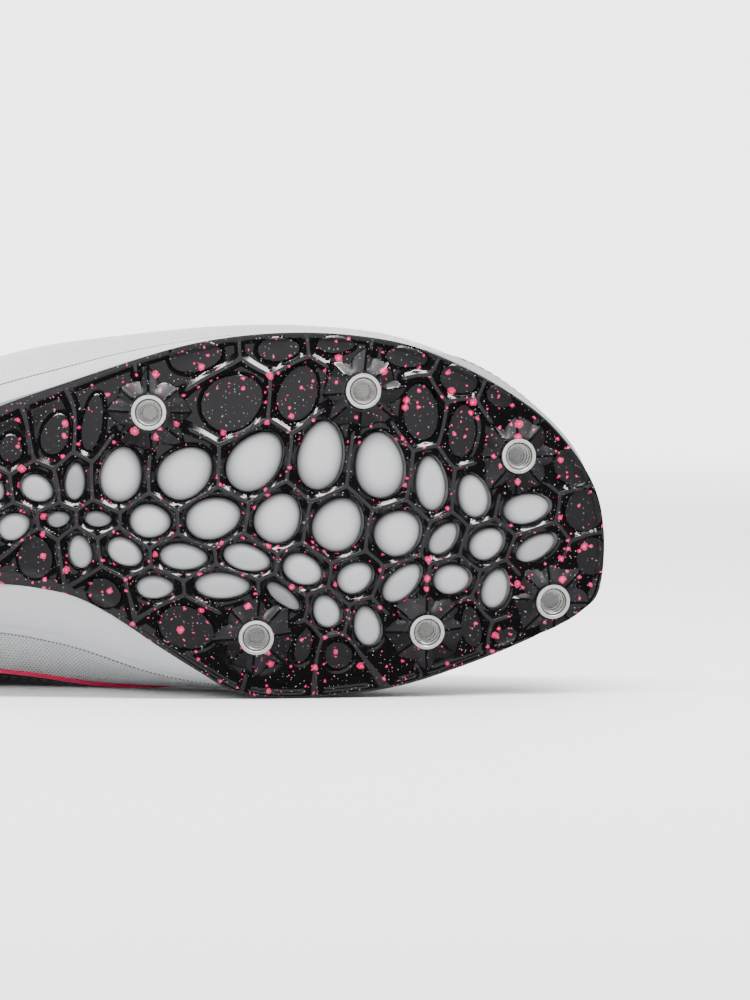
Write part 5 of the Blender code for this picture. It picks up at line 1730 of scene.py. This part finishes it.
def make_floor():
    """A pale matt disc whose far part turns transparent."""
    finish = Finish("studio_floor", "", Specular_IOR_Level=0.1)
    place = finish.place()
    reach = finish.node("VectorMath", {"operation": "LENGTH"}, {0: place}, "Value")
    cloud = finish.noise(0.05, 3.0)
    finish.feed("Base Color", finish.mix(cloud * 0.3, colour(247, 247, 248), colour(240, 240, 242)))
    finish.feed("Roughness", cloud * 0.05 + 0.9)
    finish.feed("Alpha", reach.ramp(FLOOR_FADE[1], FLOOR_FADE[0]))
    bm = bmesh.new()
    bmesh.ops.create_circle(bm, cap_ends=True, cap_tris=True, segments=96, radius=FLOOR_RADIUS)
    mesh = bpy.data.meshes.new("floor")
    bm.to_mesh(mesh)
    bm.free()
    mesh.materials.append(finish.material)
    floor = bpy.data.objects.new("floor", mesh)
    bpy.context.scene.collection.objects.link(floor)
    floor.visible_glossy = False


make_floor()

Lamp = namedtuple("Lamp", "name place aim size power glossy")
LAMPS = [Lamp(*row) for row in (
    ("overhead", (0.0, 0.20, 1.25), (0.0, 0.0, 0.0), (1.3, 1.3), 31.0, False),
    ("front", (-0.15, -1.00, 1.05), (0.05, 0.0, 0.05), (0.9, 0.6), 8.0, False),
    ("behind", (0.3, 1.3, 0.7), (0.0, 0.0, 0.05), (0.9, 0.7), 12.0, False),
    ("strip", (0.05, -0.22, 0.85), (0.06, -0.04, 0.05), (1.50, 0.13), 17.0, True),
    ("panel", (0.10, -1.60, 0.15), (0.10, 0.0, 0.05), (1.2, 1.0), 3.2, True))]
for row in LAMPS:
    light = bpy.data.lights.new(row.name, "AREA")
    light.shape = "RECTANGLE"
    light.size, light.size_y = row.size
    light.energy = row.power
    lamp = bpy.data.objects.new(row.name, light)
    bpy.context.scene.collection.objects.link(lamp)
    lamp.location = row.place
    lamp.rotation_euler = (Vector(row.aim) - lamp.location).to_track_quat("-Z", "Y").to_euler()
    lamp.visible_glossy = row.glossy

world = bpy.data.worlds.new("studio")
world.use_nodes = True
bpy.context.scene.world = world
rays = world.node_tree.nodes.new("ShaderNodeLightPath")
seen = world.node_tree.nodes.new("ShaderNodeMix")
mirrored = world.node_tree.nodes.new("ShaderNodeMix")
background = world.node_tree.nodes["Background"]
background.inputs["Color"].default_value = (1.0, 1.0, 1.0, 1.0)
mirrored.inputs["A"].default_value = AMBIENT
mirrored.inputs["B"].default_value = REFLECTED
seen.inputs["B"].default_value = BACKGROUND
world.node_tree.links.new(rays.outputs["Is Glossy Ray"], mirrored.inputs["Factor"])
world.node_tree.links.new(mirrored.outputs["Result"], seen.inputs["A"])
world.node_tree.links.new(rays.outputs["Is Camera Ray"], seen.inputs["Factor"])
world.node_tree.links.new(seen.outputs["Result"], background.inputs["Strength"])
print(len(LAMPS), "lamps")

# %% [markdown]
# ## Camera
# The photographer looked almost straight at the sole with a long lens. From the size of the sole in
# the picture, the frame is about 256 mm high at the shoe, and the camera stands a few degrees
# above the floor.

# %% The camera
CAMERA_TARGET = LAY @ Vector((0.2154, 0.002, 0.0013))
CAMERA_DISTANCE = 0.90
CAMERA_ELEVATION = math.radians(3.0)
FRAME_HEIGHT = 0.256

lens = bpy.data.cameras.new("camera")
lens.sensor_fit = "VERTICAL"
lens.sensor_height = 36.0
lens.lens = lens.sensor_height * CAMERA_DISTANCE / FRAME_HEIGHT
camera = bpy.data.objects.new("camera", lens)
bpy.context.scene.collection.objects.link(camera)
away = Vector((0.0, -math.cos(CAMERA_ELEVATION), math.sin(CAMERA_ELEVATION)))
camera.location = CAMERA_TARGET + CAMERA_DISTANCE * away
camera.rotation_euler = (math.pi / 2.0 - CAMERA_ELEVATION, 0.0, 0.0)
bpy.context.scene.camera = camera
print("camera at", tuple(round(value, 3) for value in camera.location))
